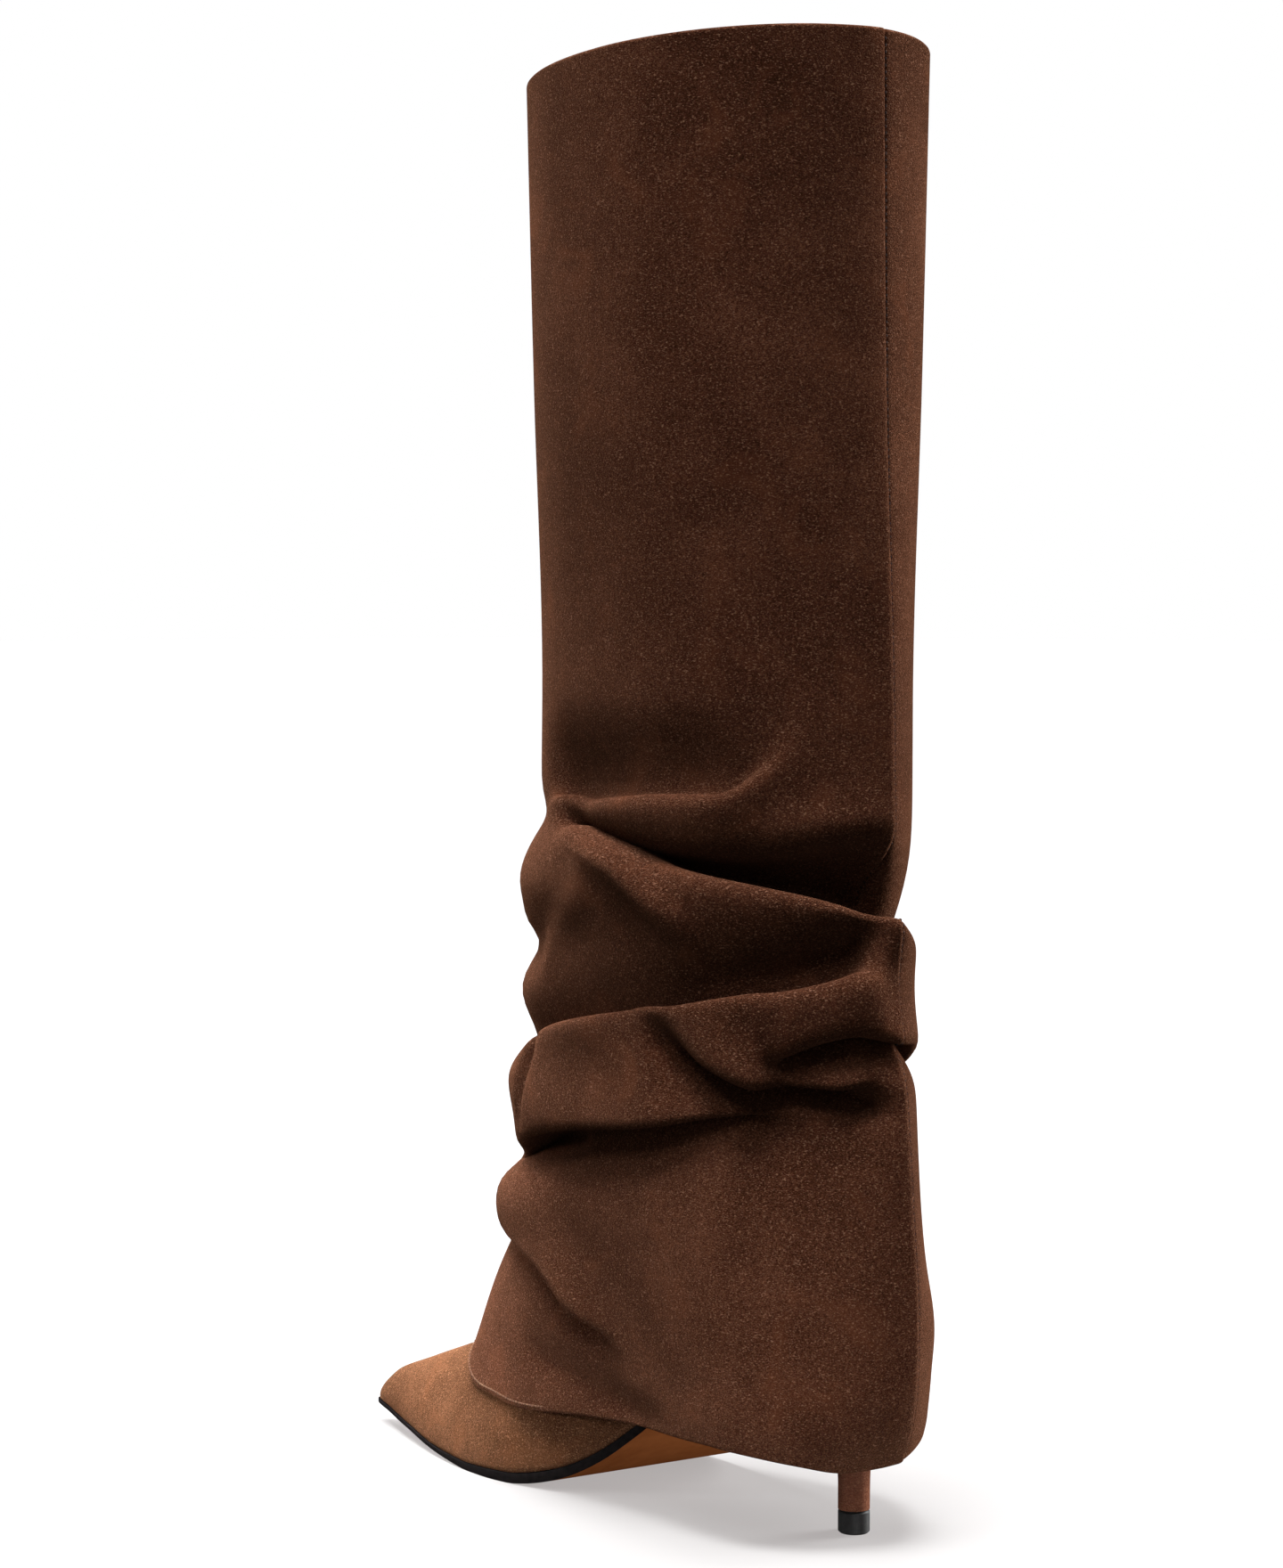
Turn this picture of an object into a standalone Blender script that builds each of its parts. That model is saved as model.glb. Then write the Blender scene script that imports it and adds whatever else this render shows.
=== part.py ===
"""A right slouched knee-high dress boot: pointed toe, slim wrapped heel, and a loose
suede shaft that is sewn over the vamp and hangs past the heel like a trouser leg.

Sizes are in millimetres. A point is (forward, medial, up): forward runs from the centre
of the heel's tip towards the toe, medial towards the wearer's left, and the floor is up = 0.
"""

import bmesh
import bpy
import numpy as np

MM = 0.001
JOIN_GAP = 0.3
WELD_DISTANCE = 0.01

# How finely curves are followed
TURN_STEP = 0.002
ANGLE_STEP = 0.5
REST_POINTS = 40
REST_ROUNDS = 12

# Sole and last
TOE_TIP = 214.0
HEEL_BACK = -19.0
SOLE_MARGIN = 0.6
INSOLE_THICK = 2.0
INSOLE_INSET = 2.4
UPPER_WALL = 1.6
TOPLINE_HEIGHT = 168.0
TOPLINE_HALF_WIDTH = 34.0
ANKLE_SPAN = (48.0, 84.0)
ANKLE_PINCH = 9.0
ANKLE_DROP = 0.4
VAMP_BACK = 92.0
COUNTER_BULGE = 1.6
BULGE_TURN = 0.5
LAST_STATIONS = 29
LAST_RIB_POINTS = 11
SOLE_STRIPS = 4

# Heel
TIP_RADIUS = 4.9
TIP_HEIGHT = 7.0
TIP_EDGE = 0.5
HEEL_POINTS = 24
SEAT_SCALES = (0.35, 0.7)
HEEL_SHARES = (0.0, 0.06, 0.14, 0.24, 0.36, 0.5, 0.66, 0.84, 1.0)

# Colours and their roughness
SUEDE = (0.150, 0.066, 0.036)
TAN = (0.230, 0.100, 0.045)
SOCK = (0.250, 0.170, 0.110)
BLACK = (0.020, 0.018, 0.018)
NAP_ROUGHNESS = 0.9
SOCK_ROUGHNESS = 0.7
SMOOTH_ROUGHNESS = 0.5

# Shaft
SHAFT_WALL = 1.8
COLLAR_HEIGHT = 455.0
COLLAR_FRONT_DROP = 10.5
SEAM_STEP = 0.9
SEAM_HALF_ANGLE = 1.2
SEAM_FADE_ANGLE = 16.0
SEAM_CORNER = 1.6
SEAM_CORNER_ANGLE = 10.0
SEAM_CORNER_SPAN = (26.0, 60.0)
SHAFT_COLUMNS = 36
HEM_GAP = 1.0
HEM_CLEARANCE = HEM_GAP + 0.5 * SHAFT_WALL

# The sole bends along a line that runs further back on the outer side of the ball
BALL_LINE_SLANT = 0.22
SOLE_PROFILE = (
    # forward, bottom of the sole
    (TOE_TIP, 6.8),
    (199.0, 5.4),
    (181.0, 3.9),
    (166.0, 2.5),
    (151.0, 1.3),
    (139.0, 0.5),
    (132.0, 0.0),
    (111.0, 0.0),
    (104.0, 0.8),
    (97.0, 2.3),
    (89.0, 4.9),
    (81.0, 8.8),
    (73.0, 13.9),
    (65.0, 20.2),
    (55.0, 28.4),
    (45.0, 36.0),
    (30.0, 45.4),
    (15.0, 53.0),
    (0.0, 59.0),
    (HEEL_BACK, 64.5),
)

SOLE_THICKNESS = (
    # forward, thickness of the sole
    (TOE_TIP, 1.2),
    (168.0, 1.2),
    (142.0, 1.9),
    (120.0, 2.8),
    (92.0, 3.5),
    (HEEL_BACK, 3.5),
)

MEDIAL_EDGE = 1
LATERAL_EDGE = 2
TOP_MIDDLE = 5
LAST_SECTIONS = (
    # forward, medial edge, lateral edge, top forward, top up, top middle, top half width, fullness
    (TOE_TIP, 6.5, 6.5, 211.0, 11.5, 6.5, 0.0, 0.55),
    (205.0, 11.0, 1.6, 204.5, 19.0, 6.2, 0.0, 0.52),
    (185.0, 19.0, -9.5, 185.0, 27.2, 5.6, 0.0, 0.47),
    (160.0, 28.2, -21.0, 160.0, 37.0, 4.6, 0.0, 0.42),
    (140.0, 33.2, -29.5, 140.0, 46.0, 3.5, 0.0, 0.42),
    (125.0, 34.9, -34.0, 125.0, 55.5, 2.5, 0.0, 0.44),
    (108.0, 33.6, -36.5, 108.0, 71.0, 1.5, 0.0, 0.48),
    (90.0, 30.0, -35.3, 94.0, 98.0, 0.5, 0.0, 0.50),
    (76.0, 27.0, -33.0, 89.0, 140.0, 0.0, 0.0, 0.50),
    (66.0, 25.0, -31.0, 90.0, TOPLINE_HEIGHT, 0.0, 0.0, 0.50),
    (59.0, 24.2, -29.9, 87.5, TOPLINE_HEIGHT, 0.3, 14.0, 0.46),
    (45.0, 23.6, -27.5, 73.0, TOPLINE_HEIGHT, 0.5, 27.0, 0.40),
    (25.0, 24.4, -25.8, 42.0, TOPLINE_HEIGHT, 1.0, TOPLINE_HALF_WIDTH, 0.35),
    (8.0, 24.0, -24.4, 18.0, TOPLINE_HEIGHT, 1.0, 24.0, 0.30),
    (-8.0, 18.5, -18.5, 5.5, TOPLINE_HEIGHT, 0.5, 11.5, 0.26),
    (HEEL_BACK, 0.0, 0.0, 0.0, TOPLINE_HEIGHT, 0.0, 0.0, 0.25),
)

HEEL_SECTIONS = (
    # share of the way down, back, front, half width
    (0.00, -16.8, 26.0, 20.5),
    (0.10, -16.2, 21.0, 17.5),
    (0.25, -13.0, 12.5, 12.0),
    (0.45, -8.6, 7.2, 7.4),
    (0.65, -5.8, 5.3, 5.4),
    (0.85, -5.0, 4.9, 4.9),
    (1.00, -TIP_RADIUS, TIP_RADIUS, TIP_RADIUS),
)

MEDIAL_ROUNDNESS = 5
LATERAL_ROUNDNESS = 6
FRONT_TAPER = 7
SHAFT_SECTIONS = (
    # up, back, front, widest at, half width, medial back roundness, lateral back roundness, front taper
    (COLLAR_HEIGHT, -11.0, 119.0, 53.0, 59.5, 1.92, 1.90, 1.0),
    (350.0, -11.5, 119.3, 53.0, 54.3, 1.85, 1.85, 1.0),
    (250.0, -13.5, 121.0, 53.0, 47.0, 1.72, 1.72, 1.0),
    (200.0, -14.5, 122.5, 52.0, 47.0, 1.68, 1.65, 1.0),
    (150.0, -18.0, 127.0, 50.0, 46.0, 1.65, 1.52, 1.0),
    (105.0, -21.5, 136.0, 45.0, 45.0, 1.70, 1.45, 1.0),
    (70.0, -23.8, 147.0, 35.0, 43.5, 1.75, 1.47, 0.92),
    (48.0, -23.8, 155.0, 27.0, 42.0, 1.80, 1.48, 0.80),
    (36.0, -22.6, 160.0, 23.5, 41.4, 1.83, 1.47, 0.75),
    (24.0, -18.6, 165.0, 20.0, 39.8, 1.85, 1.46, 0.70),
)

HEM_LINE = (
    # angle from the back seam, up
    (-180.0, 30.0),
    (-150.0, 26.5),
    (-132.0, 26.0),
    (-115.0, 29.5),
    (-90.0, 31.0),
    (-50.0, 31.5),
    (-15.0, 28.5),
    (0.0, 26.5),
    (16.0, 25.0),
    (31.0, 24.6),
    (50.0, 27.0),
    (75.0, 29.0),
    (100.0, 29.8),
    (113.0, 29.4),
    (122.0, 27.2),
    (132.0, 26.0),
    (150.0, 26.5),
    (180.0, 30.0),
)

FOLD_FADE = -1
LOWER_OUT = -1.0
UPPER_OUT = 1.0
CREASES = (
    # belt from the collar down, angle from, angle to, up at start, midway, at end,
    # step, mean out, tuck, edge, reach up, reach down, outer lip, fade
    (0, -100.0, 122.0, 180.0, 189.0, 220.0, 10.0, -2.5, 14.0, 4.0, 22.0, 15.0, LOWER_OUT, 34.0),
    (1, 0.0, 190.0, 178.0, 159.5, 118.0, 9.0, -1.0, 14.0, 4.0, 22.0, 15.0, LOWER_OUT, 34.0),
    (1, -170.0, -72.0, 118.0, 156.0, 166.0, 8.0, 0.0, 12.0, 4.0, 20.0, 14.0, LOWER_OUT, 30.0),
    (2, -80.0, 58.0, 120.0, 151.0, 147.0, 9.0, -3.5, 12.0, 3.2, 12.0, 9.0, UPPER_OUT, 22.0),
    (3, 0.0, 82.0, 140.0, 138.5, 163.0, 9.0, -1.0, 12.0, 3.4, 9.0, 16.0, UPPER_OUT, 24.0),
    (4, 24.0, 190.0, 128.0, 122.0, 80.0, 9.0, -1.5, 13.0, 3.8, 15.0, 18.0, UPPER_OUT, 24.0),
    (4, -170.0, -50.0, 80.0, 112.0, 121.0, 8.0, 0.0, 12.0, 3.8, 14.0, 18.0, UPPER_OUT, 28.0),
    (5, 98.0, 200.0, 44.0, 81.0, 64.0, 7.0, 0.0, 7.0, 3.6, 15.0, 15.0, UPPER_OUT, 18.0),
)
BELT_ROWS = (11, 9, 6, 5, 6, 7, 6)
BELT_SPACE = 6.0

RIDGES = (
    # angle from, angle to, up at start, midway, at end, out, width, fade
    (40.0, 134.0, 231.0, 227.0, 216.0, 4.0, 7.0, 18.0),
    (28.0, 54.0, 268.0, 240.0, 227.0, 3.0, 8.0, 13.0),
    (68.0, 126.0, 180.0, 199.0, 216.0, 3.0, 7.0, 18.0),
    (96.0, 190.0, 186.0, 178.0, 174.0, -2.0, 8.0, 26.0),
    (56.0, 106.0, 149.0, 152.0, 152.0, -3.0, 8.0, 18.0),
    (84.0, 134.0, 44.0, 46.0, 45.0, -2.5, 9.0, 18.0),
)

SWELLS = (
    # angle, up, angle spread, up spread, out
    (150.0, 196.0, 34.0, 14.0, 6.5),
    (152.0, 163.0, 30.0, 11.0, 7.0),
    (152.0, 130.0, 40.0, 13.0, 5.0),
    (152.0, 92.0, 34.0, 9.0, 6.5),
    (-30.0, 64.0, 24.0, 14.0, 2.0),
    (-120.0, 140.0, 40.0, 16.0, 4.0),
)


def smooth(table, column, at):
    """Read one column of a table at any place along its first column, without overshoot."""
    rows = sorted(table)
    place = np.array([row[0] for row in rows], float)
    value = np.array([row[column] for row in rows], float)
    span = np.diff(place)
    slope = np.diff(value) / span
    tangent = np.zeros_like(value)
    tangent[0] = slope[0]
    tangent[-1] = slope[-1]
    for i in range(1, len(rows) - 1):
        if slope[i - 1] * slope[i] > 0.0:
            before = 2.0 * span[i] + span[i - 1]
            after = span[i] + 2.0 * span[i - 1]
            tangent[i] = (before + after) / (before / slope[i - 1] + after / slope[i])
    at = np.clip(np.asarray(at, float), place[0], place[-1])
    i = np.clip(np.searchsorted(place, at) - 1, 0, len(rows) - 2)
    t = (at - place[i]) / span[i]
    start = value[i] * (1.0 + 2.0 * t) * (1.0 - t) ** 2 + span[i] * tangent[i] * t * (1.0 - t) ** 2
    end = value[i + 1] * t ** 2 * (3.0 - 2.0 * t) + span[i] * tangent[i + 1] * t ** 2 * (t - 1.0)
    return start + end


def ease(low, high, at):
    """Rise smoothly from 0 at low to 1 at high."""
    t = np.clip((np.asarray(at, float) - low) / (high - low), 0.0, 1.0)
    return t * t * (3.0 - 2.0 * t)


# Last

def station_forward(turn):
    """Forward place of an outline station: turn 0 is the toe tip and pi the back of the heel."""
    middle = 0.5 * (TOE_TIP + HEEL_BACK)
    half = 0.5 * (TOE_TIP - HEEL_BACK)
    return middle + half * np.cos(turn)


def by_turn(table, column, turn):
    """Read a table in the turn of its stations, so that toe and heel close roundly."""
    middle = 0.5 * (TOE_TIP + HEEL_BACK)
    half = 0.5 * (TOE_TIP - HEEL_BACK)
    turned = [(float(np.arccos(np.clip((row[0] - middle) / half, -1.0, 1.0))), row[column])
              for row in table]
    return smooth(turned, 1, turn)


def outline(turn, side, inset=0.0):
    """Plan point of the last's edge, moved inward by inset along the edge's own normal."""
    column = MEDIAL_EDGE if side > 0 else LATERAL_EDGE
    here = np.array([station_forward(turn), by_turn(LAST_SECTIONS, column, turn)])
    low = max(turn - TURN_STEP, 0.0)
    high = min(turn + TURN_STEP, np.pi)
    along = np.array([station_forward(high) - station_forward(low),
                      by_turn(LAST_SECTIONS, column, high) - by_turn(LAST_SECTIONS, column, low)])
    outward = np.array([-along[1], along[0]]) * -side
    if turn <= 0.0:
        outward = np.array([1.0, 0.0])
    if turn >= np.pi:
        outward = np.array([-1.0, 0.0])
    outward = outward / np.hypot(*outward)
    return here - inset * outward, outward


def sole_bottom(forward, medial):
    """Height of the sole's underside."""
    return smooth(SOLE_PROFILE, 1, forward - BALL_LINE_SLANT * medial)


def sole_top(forward, medial):
    """Height of the sole's upper face."""
    return sole_bottom(forward, medial) + smooth(SOLE_THICKNESS, 1, forward - BALL_LINE_SLANT * medial)


def insole_bottom(forward, medial):
    return sole_top(forward, medial) + JOIN_GAP


def insole_top(forward, medial):
    return insole_bottom(forward, medial) + INSOLE_THICK


def bezier(points, count):
    t = np.linspace(0.0, 1.0, count)[:, None]
    a, b, c, d = [np.asarray(p, float) for p in points]
    return (a * (1.0 - t) ** 3 + 3.0 * b * t * (1.0 - t) ** 2
            + 3.0 * c * t ** 2 * (1.0 - t) + d * t ** 3)


def last_rib(turn, side, count=LAST_RIB_POINTS):
    """Points of the upper from its feather edge up to the ridge of the vamp or to the topline."""
    edge, outward = outline(turn, side)
    foot = np.array([edge[0], edge[1], sole_top(*edge) + JOIN_GAP])
    forward, up, middle, half, fullness = [by_turn(LAST_SECTIONS, column, turn) for column in range(3, 8)]
    top = np.array([forward, middle + side * half, up])
    rise = top[2] - foot[2]
    bulge = np.array([outward[0], outward[1], 0.0]) * COUNTER_BULGE * ease(0.0, BULGE_TURN, turn)
    low = foot + bulge + np.array([0.0, 0.0, fullness * rise])
    across = foot - top
    across[2] = 0.0
    over = top + fullness * across
    upright = 1.0 - ease(*ANKLE_SPAN, foot[0])
    under = top - np.array([0.0, side * ANKLE_PINCH * half / TOPLINE_HALF_WIDTH, ANKLE_DROP * rise])
    high = over * (1.0 - upright) + under * upright
    return bezier((foot, low, high, top), count)


def vamp_rest(forward, medial):
    """Height at which a sheet's middle lies on the vamp, or zero off the vamp."""
    middle = 0.5 * (TOE_TIP + HEEL_BACK)
    half = 0.5 * (TOE_TIP - HEEL_BACK)
    if forward < VAMP_BACK or forward >= TOE_TIP:
        return 0.0
    turn = float(np.arccos((forward - middle) / half))
    crest = by_turn(LAST_SECTIONS, TOP_MIDDLE, turn)
    side = 1.0 if medial >= crest else -1.0
    rib = last_rib(turn, side, REST_POINTS)
    along = np.gradient(rib[:, 1:], axis=0)
    normal = np.stack([along[:, 1], -along[:, 0]], 1) * side
    normal = normal / np.linalg.norm(normal, axis=1)[:, None]
    lifted = rib[:, 1:] + HEM_CLEARANCE * normal
    order = np.argsort(lifted[:, 0] * side)
    reach = lifted[order, 0] * side
    if medial * side > reach[-1]:
        return 0.0
    return float(np.interp(medial * side, reach, lifted[order, 1]))


# Shaft

def shaft_plan(angle, up):
    """Plan point of the plain leg at an angle from the back seam, positive towards medial."""
    back, front, widest, half = [smooth(SHAFT_SECTIONS, column, up) for column in range(1, 5)]
    turn = np.radians(angle)
    inner = smooth(SHAFT_SECTIONS, MEDIAL_ROUNDNESS, up)
    outer = smooth(SHAFT_SECTIONS, LATERAL_ROUNDNESS, up)
    roundness = np.where(np.sin(turn) > 0.0, inner, outer)
    behind = np.clip(np.cos(turn), 0.0, 1.0)
    ahead = np.clip(-np.cos(turn), 0.0, 1.0)
    taper = smooth(SHAFT_SECTIONS, FRONT_TAPER, up)
    forward = widest - (widest - back) * behind ** (2.0 / roundness) + (front - widest) * ahead
    power = np.where(np.cos(turn) > 0.0, 2.0 / roundness, taper)
    medial = half * np.sign(np.sin(turn)) * np.abs(np.sin(turn)) ** power
    return forward, medial


def outward_of(angle, up):
    """Plan direction out of the plain leg."""
    ahead = np.stack(shaft_plan(angle + ANGLE_STEP, up), -1)
    before = np.stack(shaft_plan(angle - ANGLE_STEP, up), -1)
    along = ahead - before
    normal = np.stack([-along[..., 1], along[..., 0]], -1)
    return normal / np.linalg.norm(normal, axis=-1)[..., None]


def fold_line(fold, angle):
    """Height of a fold's line through its ends and middle, and its strength around the leg."""
    start, end, first, middle, last = fold[:5]
    fade = fold[FOLD_FADE]
    around = start + (angle - start) % 360.0
    t = np.clip((around - start) / (end - start), 0.0, 1.0)
    height = (first * (1.0 - t) * (1.0 - 2.0 * t) + 4.0 * middle * t * (1.0 - t)
              + last * t * (2.0 * t - 1.0))
    strength = ease(start, start + fade, around) * (1.0 - ease(end - fade, end, around))
    return height, strength


def fold_shift(angle, up):
    """Outward and upward shift of the leg's wall by its folds, swells and back seam."""
    out = np.zeros(np.broadcast(angle, up).shape)
    lift = np.zeros_like(out)
    for crease in CREASES:
        height, strength = fold_line(crease[1:], angle)
        step, mean, tuck, edge, reach_up, reach_down, lip = crease[6:13]
        above = up - height
        reach = np.where(above > 0.0, reach_up, reach_down)
        near = strength * np.exp(-(above / reach) ** 2)
        wave = near * np.tanh(above / edge)
        out = out + lip * 0.5 * step * wave + mean * near
        lift = lift - 0.5 * tuck * wave
    for ridge in RIDGES:
        height, strength = fold_line(ridge, angle)
        rise, width = ridge[5:7]
        out = out + rise * strength * np.exp(-((up - height) / width) ** 2)
    for centre, height, wide, tall, rise in SWELLS:
        away = (angle - centre + 180.0) % 360.0 - 180.0
        out = out + rise * np.exp(-(away / wide) ** 2 - ((up - height) / tall) ** 2)
    lap = ease(-SEAM_HALF_ANGLE, SEAM_HALF_ANGLE, angle)
    out = out + SEAM_STEP * lap * (1.0 - ease(SEAM_HALF_ANGLE, SEAM_FADE_ANGLE, angle))
    corner = np.exp(-np.abs(angle) / SEAM_CORNER_ANGLE) * ease(*SEAM_CORNER_SPAN, up)
    out = out + SEAM_CORNER * corner
    return out, lift


def shaft_point(angle, up):
    """Middle of the shaft's wall. The hem end rests on the vamp where the vamp is under it."""
    forward, medial = shaft_plan(angle, up)
    normal = outward_of(angle, up)
    out, lift = fold_shift(angle, up)
    return np.stack([forward + out * normal[..., 0], medial + out * normal[..., 1], up + lift], -1)


def hem_height(angle):
    """Lowest level of the shaft at one angle: its hem, or the vamp if that is higher."""
    level = float(smooth(HEM_LINE, 1, angle))
    for _ in range(REST_ROUNDS):
        forward, medial = shaft_plan(np.array(angle), np.array(level))
        level = max(float(smooth(HEM_LINE, 1, angle)), vamp_rest(float(forward), float(medial)))
    return level


def collar_height(angle):
    return COLLAR_HEIGHT - COLLAR_FRONT_DROP * 0.5 * (1.0 - np.cos(np.radians(angle)))


def belt_height(belt, angle):
    """Height of a line round the leg that follows one belt's creases and runs straight between them."""
    creases = [crease[1:] for crease in CREASES if crease[0] == belt]
    for crease in creases:
        if (angle - crease[0]) % 360.0 <= crease[1] - crease[0]:
            return float(fold_line(crease, angle)[0])
    before = min(creases, key=lambda crease: (angle - crease[1]) % 360.0)
    after = min(creases, key=lambda crease: (crease[0] - angle) % 360.0)
    since = (angle - before[1]) % 360.0
    until = (after[0] - angle) % 360.0
    return before[4] + (after[2] - before[4]) * since / (since + until)


def shaft_levels(angle):
    """Heights of one column's points, close together at the belts of creases."""
    belts = [belt_height(belt, angle) for belt in range(len(BELT_ROWS) - 1)]
    valley, upper_roll, pocket, under_pocket, lower_roll, skirt = belts
    under_pocket = np.clip(under_pocket, lower_roll + BELT_SPACE, upper_roll - 2.0 * BELT_SPACE)
    pocket = np.clip(pocket, under_pocket + BELT_SPACE, upper_roll - BELT_SPACE)
    guides = [collar_height(angle), valley, upper_roll, pocket, under_pocket, lower_roll, skirt]
    guides.append(hem_height(angle))
    levels = [guides[0]]
    for upper, lower, rows in zip(guides, guides[1:], BELT_ROWS):
        share = 0.5 - 0.5 * np.cos(np.pi * np.arange(1, rows + 1) / rows)
        levels.extend(upper + (lower - upper) * share)
    return np.array(levels)


def shaft_column(angle):
    """Points of the shaft's wall down one column."""
    up = shaft_levels(angle)
    return shaft_point(np.full_like(up, angle), up)


# Meshes

def placed(point):
    """A point in the boot's own axes as metres: the toe looks along -Y, medial is +X."""
    return (point[1] * MM, -point[0] * MM, point[2] * MM)


def finish(name, mesh_data, material):
    bmesh.ops.remove_doubles(mesh_data, verts=mesh_data.verts, dist=WELD_DISTANCE * MM)
    mesh = bpy.data.meshes.new(name)
    mesh_data.to_mesh(mesh)
    mesh_data.free()
    mesh.materials.append(material)
    for polygon in mesh.polygons:
        polygon.use_smooth = True
    piece = bpy.data.objects.new(name, mesh)
    bpy.context.collection.objects.link(piece)
    return piece


def skin(rows, closed):
    """Faces between rows of points that all have the same count."""
    mesh_data = bmesh.new()
    verts = [[mesh_data.verts.new(placed(point)) for point in row] for row in rows]
    count = len(rows)
    for i in range(count if closed else count - 1):
        here = verts[i]
        after = verts[(i + 1) % count]
        for j in range(len(here) - 1):
            mesh_data.faces.new((here[j], after[j], after[j + 1], here[j + 1]))
    return mesh_data


def thicken(piece, wall, offset):
    solid = piece.modifiers.new("wall", "SOLIDIFY")
    solid.thickness = wall * MM
    solid.offset = offset
    return piece


def outline_ring(count):
    """Turn and side of every rib in order: toe, medial side, heel, lateral side."""
    turns = np.linspace(0.0, np.pi, count)
    ring = [(turn, 1.0) for turn in turns]
    ring += [(turn, -1.0) for turn in turns[-2:0:-1]]
    return ring


def make_upper(material):
    rows = [last_rib(turn, side) for turn, side in outline_ring(LAST_STATIONS)]
    piece = finish("upper", skin(rows, True), material)
    return thicken(piece, UPPER_WALL, -1.0)


def make_sheet(name, inset, under, over, material):
    """A sheet cut to the last's outline, then bent to lie between two heights."""
    rows = []
    for turn in np.linspace(0.0, np.pi, LAST_STATIONS):
        medial, _ = outline(turn, 1.0, inset)
        lateral, _ = outline(turn, -1.0, inset)
        shares = np.linspace(0.0, 1.0, SOLE_STRIPS + 1)[:, None]
        plan = medial * (1.0 - shares) + lateral * shares
        rows.append([(*point, 0.0) for point in plan])
    mesh_data = skin(rows, False)
    bmesh.ops.remove_doubles(mesh_data, verts=mesh_data.verts, dist=WELD_DISTANCE * MM)
    grown = bmesh.ops.extrude_face_region(mesh_data, geom=list(mesh_data.faces))
    raised = {item for item in grown["geom"] if isinstance(item, bmesh.types.BMVert)}
    for vert in mesh_data.verts:
        height = over if vert in raised else under
        vert.co.z = MM * float(height(-vert.co.y / MM, vert.co.x / MM))
    bmesh.ops.recalc_face_normals(mesh_data, faces=mesh_data.faces)
    return finish(name, mesh_data, material)


def make_shaft(material):
    angles = list(np.linspace(-180.0, 180.0, SHAFT_COLUMNS, endpoint=False))
    angles = sorted(angles + [-SEAM_HALF_ANGLE, SEAM_HALF_ANGLE])
    piece = finish("shaft", skin([shaft_column(angle) for angle in angles], True), material)
    return thicken(piece, SHAFT_WALL, 0.0)


def heel_ring(share, scale=1.0):
    """Points round the heel at a share of the way from its seat to its tip."""
    back, front, half = [smooth(HEEL_SECTIONS, column, share) for column in range(1, 4)]
    seat_back, seat_front, seat_half = HEEL_SECTIONS[0][1:]
    ring = []
    for turn in np.linspace(0.0, 2.0 * np.pi, HEEL_POINTS, endpoint=False):
        across = scale * np.sin(turn)
        along = scale * np.cos(turn)
        plan = (0.5 * (front + back) + 0.5 * (front - back) * along, half * across)
        seat = (0.5 * (seat_front + seat_back) + 0.5 * (seat_front - seat_back) * along, seat_half * across)
        top = sole_bottom(*seat) - JOIN_GAP
        ring.append((plan[0], plan[1], top * (1.0 - share) + (TIP_HEIGHT + JOIN_GAP) * share))
    return ring


def close_ends(mesh_data):
    bmesh.ops.holes_fill(mesh_data, edges=[edge for edge in mesh_data.edges if edge.is_boundary])
    bmesh.ops.recalc_face_normals(mesh_data, faces=mesh_data.faces)


def make_heel(material):
    rings = [heel_ring(0.0, scale) for scale in SEAT_SCALES]
    rings += [heel_ring(share) for share in HEEL_SHARES]
    mesh_data = skin(list(zip(*rings)), True)
    close_ends(mesh_data)
    return finish("heel", mesh_data, material)


def make_heel_tip(material):
    profile = ((TIP_RADIUS, TIP_HEIGHT), (TIP_RADIUS, TIP_EDGE), (TIP_RADIUS - TIP_EDGE, 0.0))
    columns = []
    for turn in np.linspace(0.0, 2.0 * np.pi, HEEL_POINTS, endpoint=False):
        columns.append([(r * np.cos(turn), r * np.sin(turn), up) for r, up in profile])
    mesh_data = skin(columns, True)
    close_ends(mesh_data)
    return finish("heel_tip", mesh_data, material)


def make_material(name, colour, roughness):
    material = bpy.data.materials.new(name)
    material.use_nodes = True
    shader = material.node_tree.nodes["Principled BSDF"]
    shader.inputs["Base Color"].default_value = (*colour, 1.0)
    shader.inputs["Roughness"].default_value = roughness
    shader.inputs["Metallic"].default_value = 0.0
    return material


def stand_on_origin(pieces):
    """Put the middle of the boot's footprint box at the origin, on the floor."""
    bpy.context.view_layer.update()
    graph = bpy.context.evaluated_depsgraph_get()
    corners = np.array([corner for piece in pieces for corner in piece.evaluated_get(graph).bound_box])
    low = corners.min(axis=0)
    high = corners.max(axis=0)
    boot = bpy.data.objects.new("boot", None)
    bpy.context.collection.objects.link(boot)
    boot.location = (-0.5 * (low[0] + high[0]), -0.5 * (low[1] + high[1]), -low[2])
    for piece in pieces:
        piece.parent = boot


def main():
    for item in list(bpy.data.objects):
        bpy.data.objects.remove(item)
    sole_leather = make_material("sole_leather", TAN, SMOOTH_ROUGHNESS)
    sock = make_material("sock", SOCK, SOCK_ROUGHNESS)
    pieces = [
        make_sheet("outsole", -SOLE_MARGIN, sole_bottom, sole_top, sole_leather),
        make_sheet("insole", INSOLE_INSET, insole_bottom, insole_top, sock),
        make_heel(make_material("heel_suede", SUEDE, NAP_ROUGHNESS)),
        make_heel_tip(make_material("tip_rubber", BLACK, SMOOTH_ROUGHNESS)),
        make_upper(make_material("upper_suede", SUEDE, NAP_ROUGHNESS)),
        make_shaft(make_material("shaft_suede", SUEDE, NAP_ROUGHNESS)),
    ]
    stand_on_origin(pieces)


main()
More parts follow.
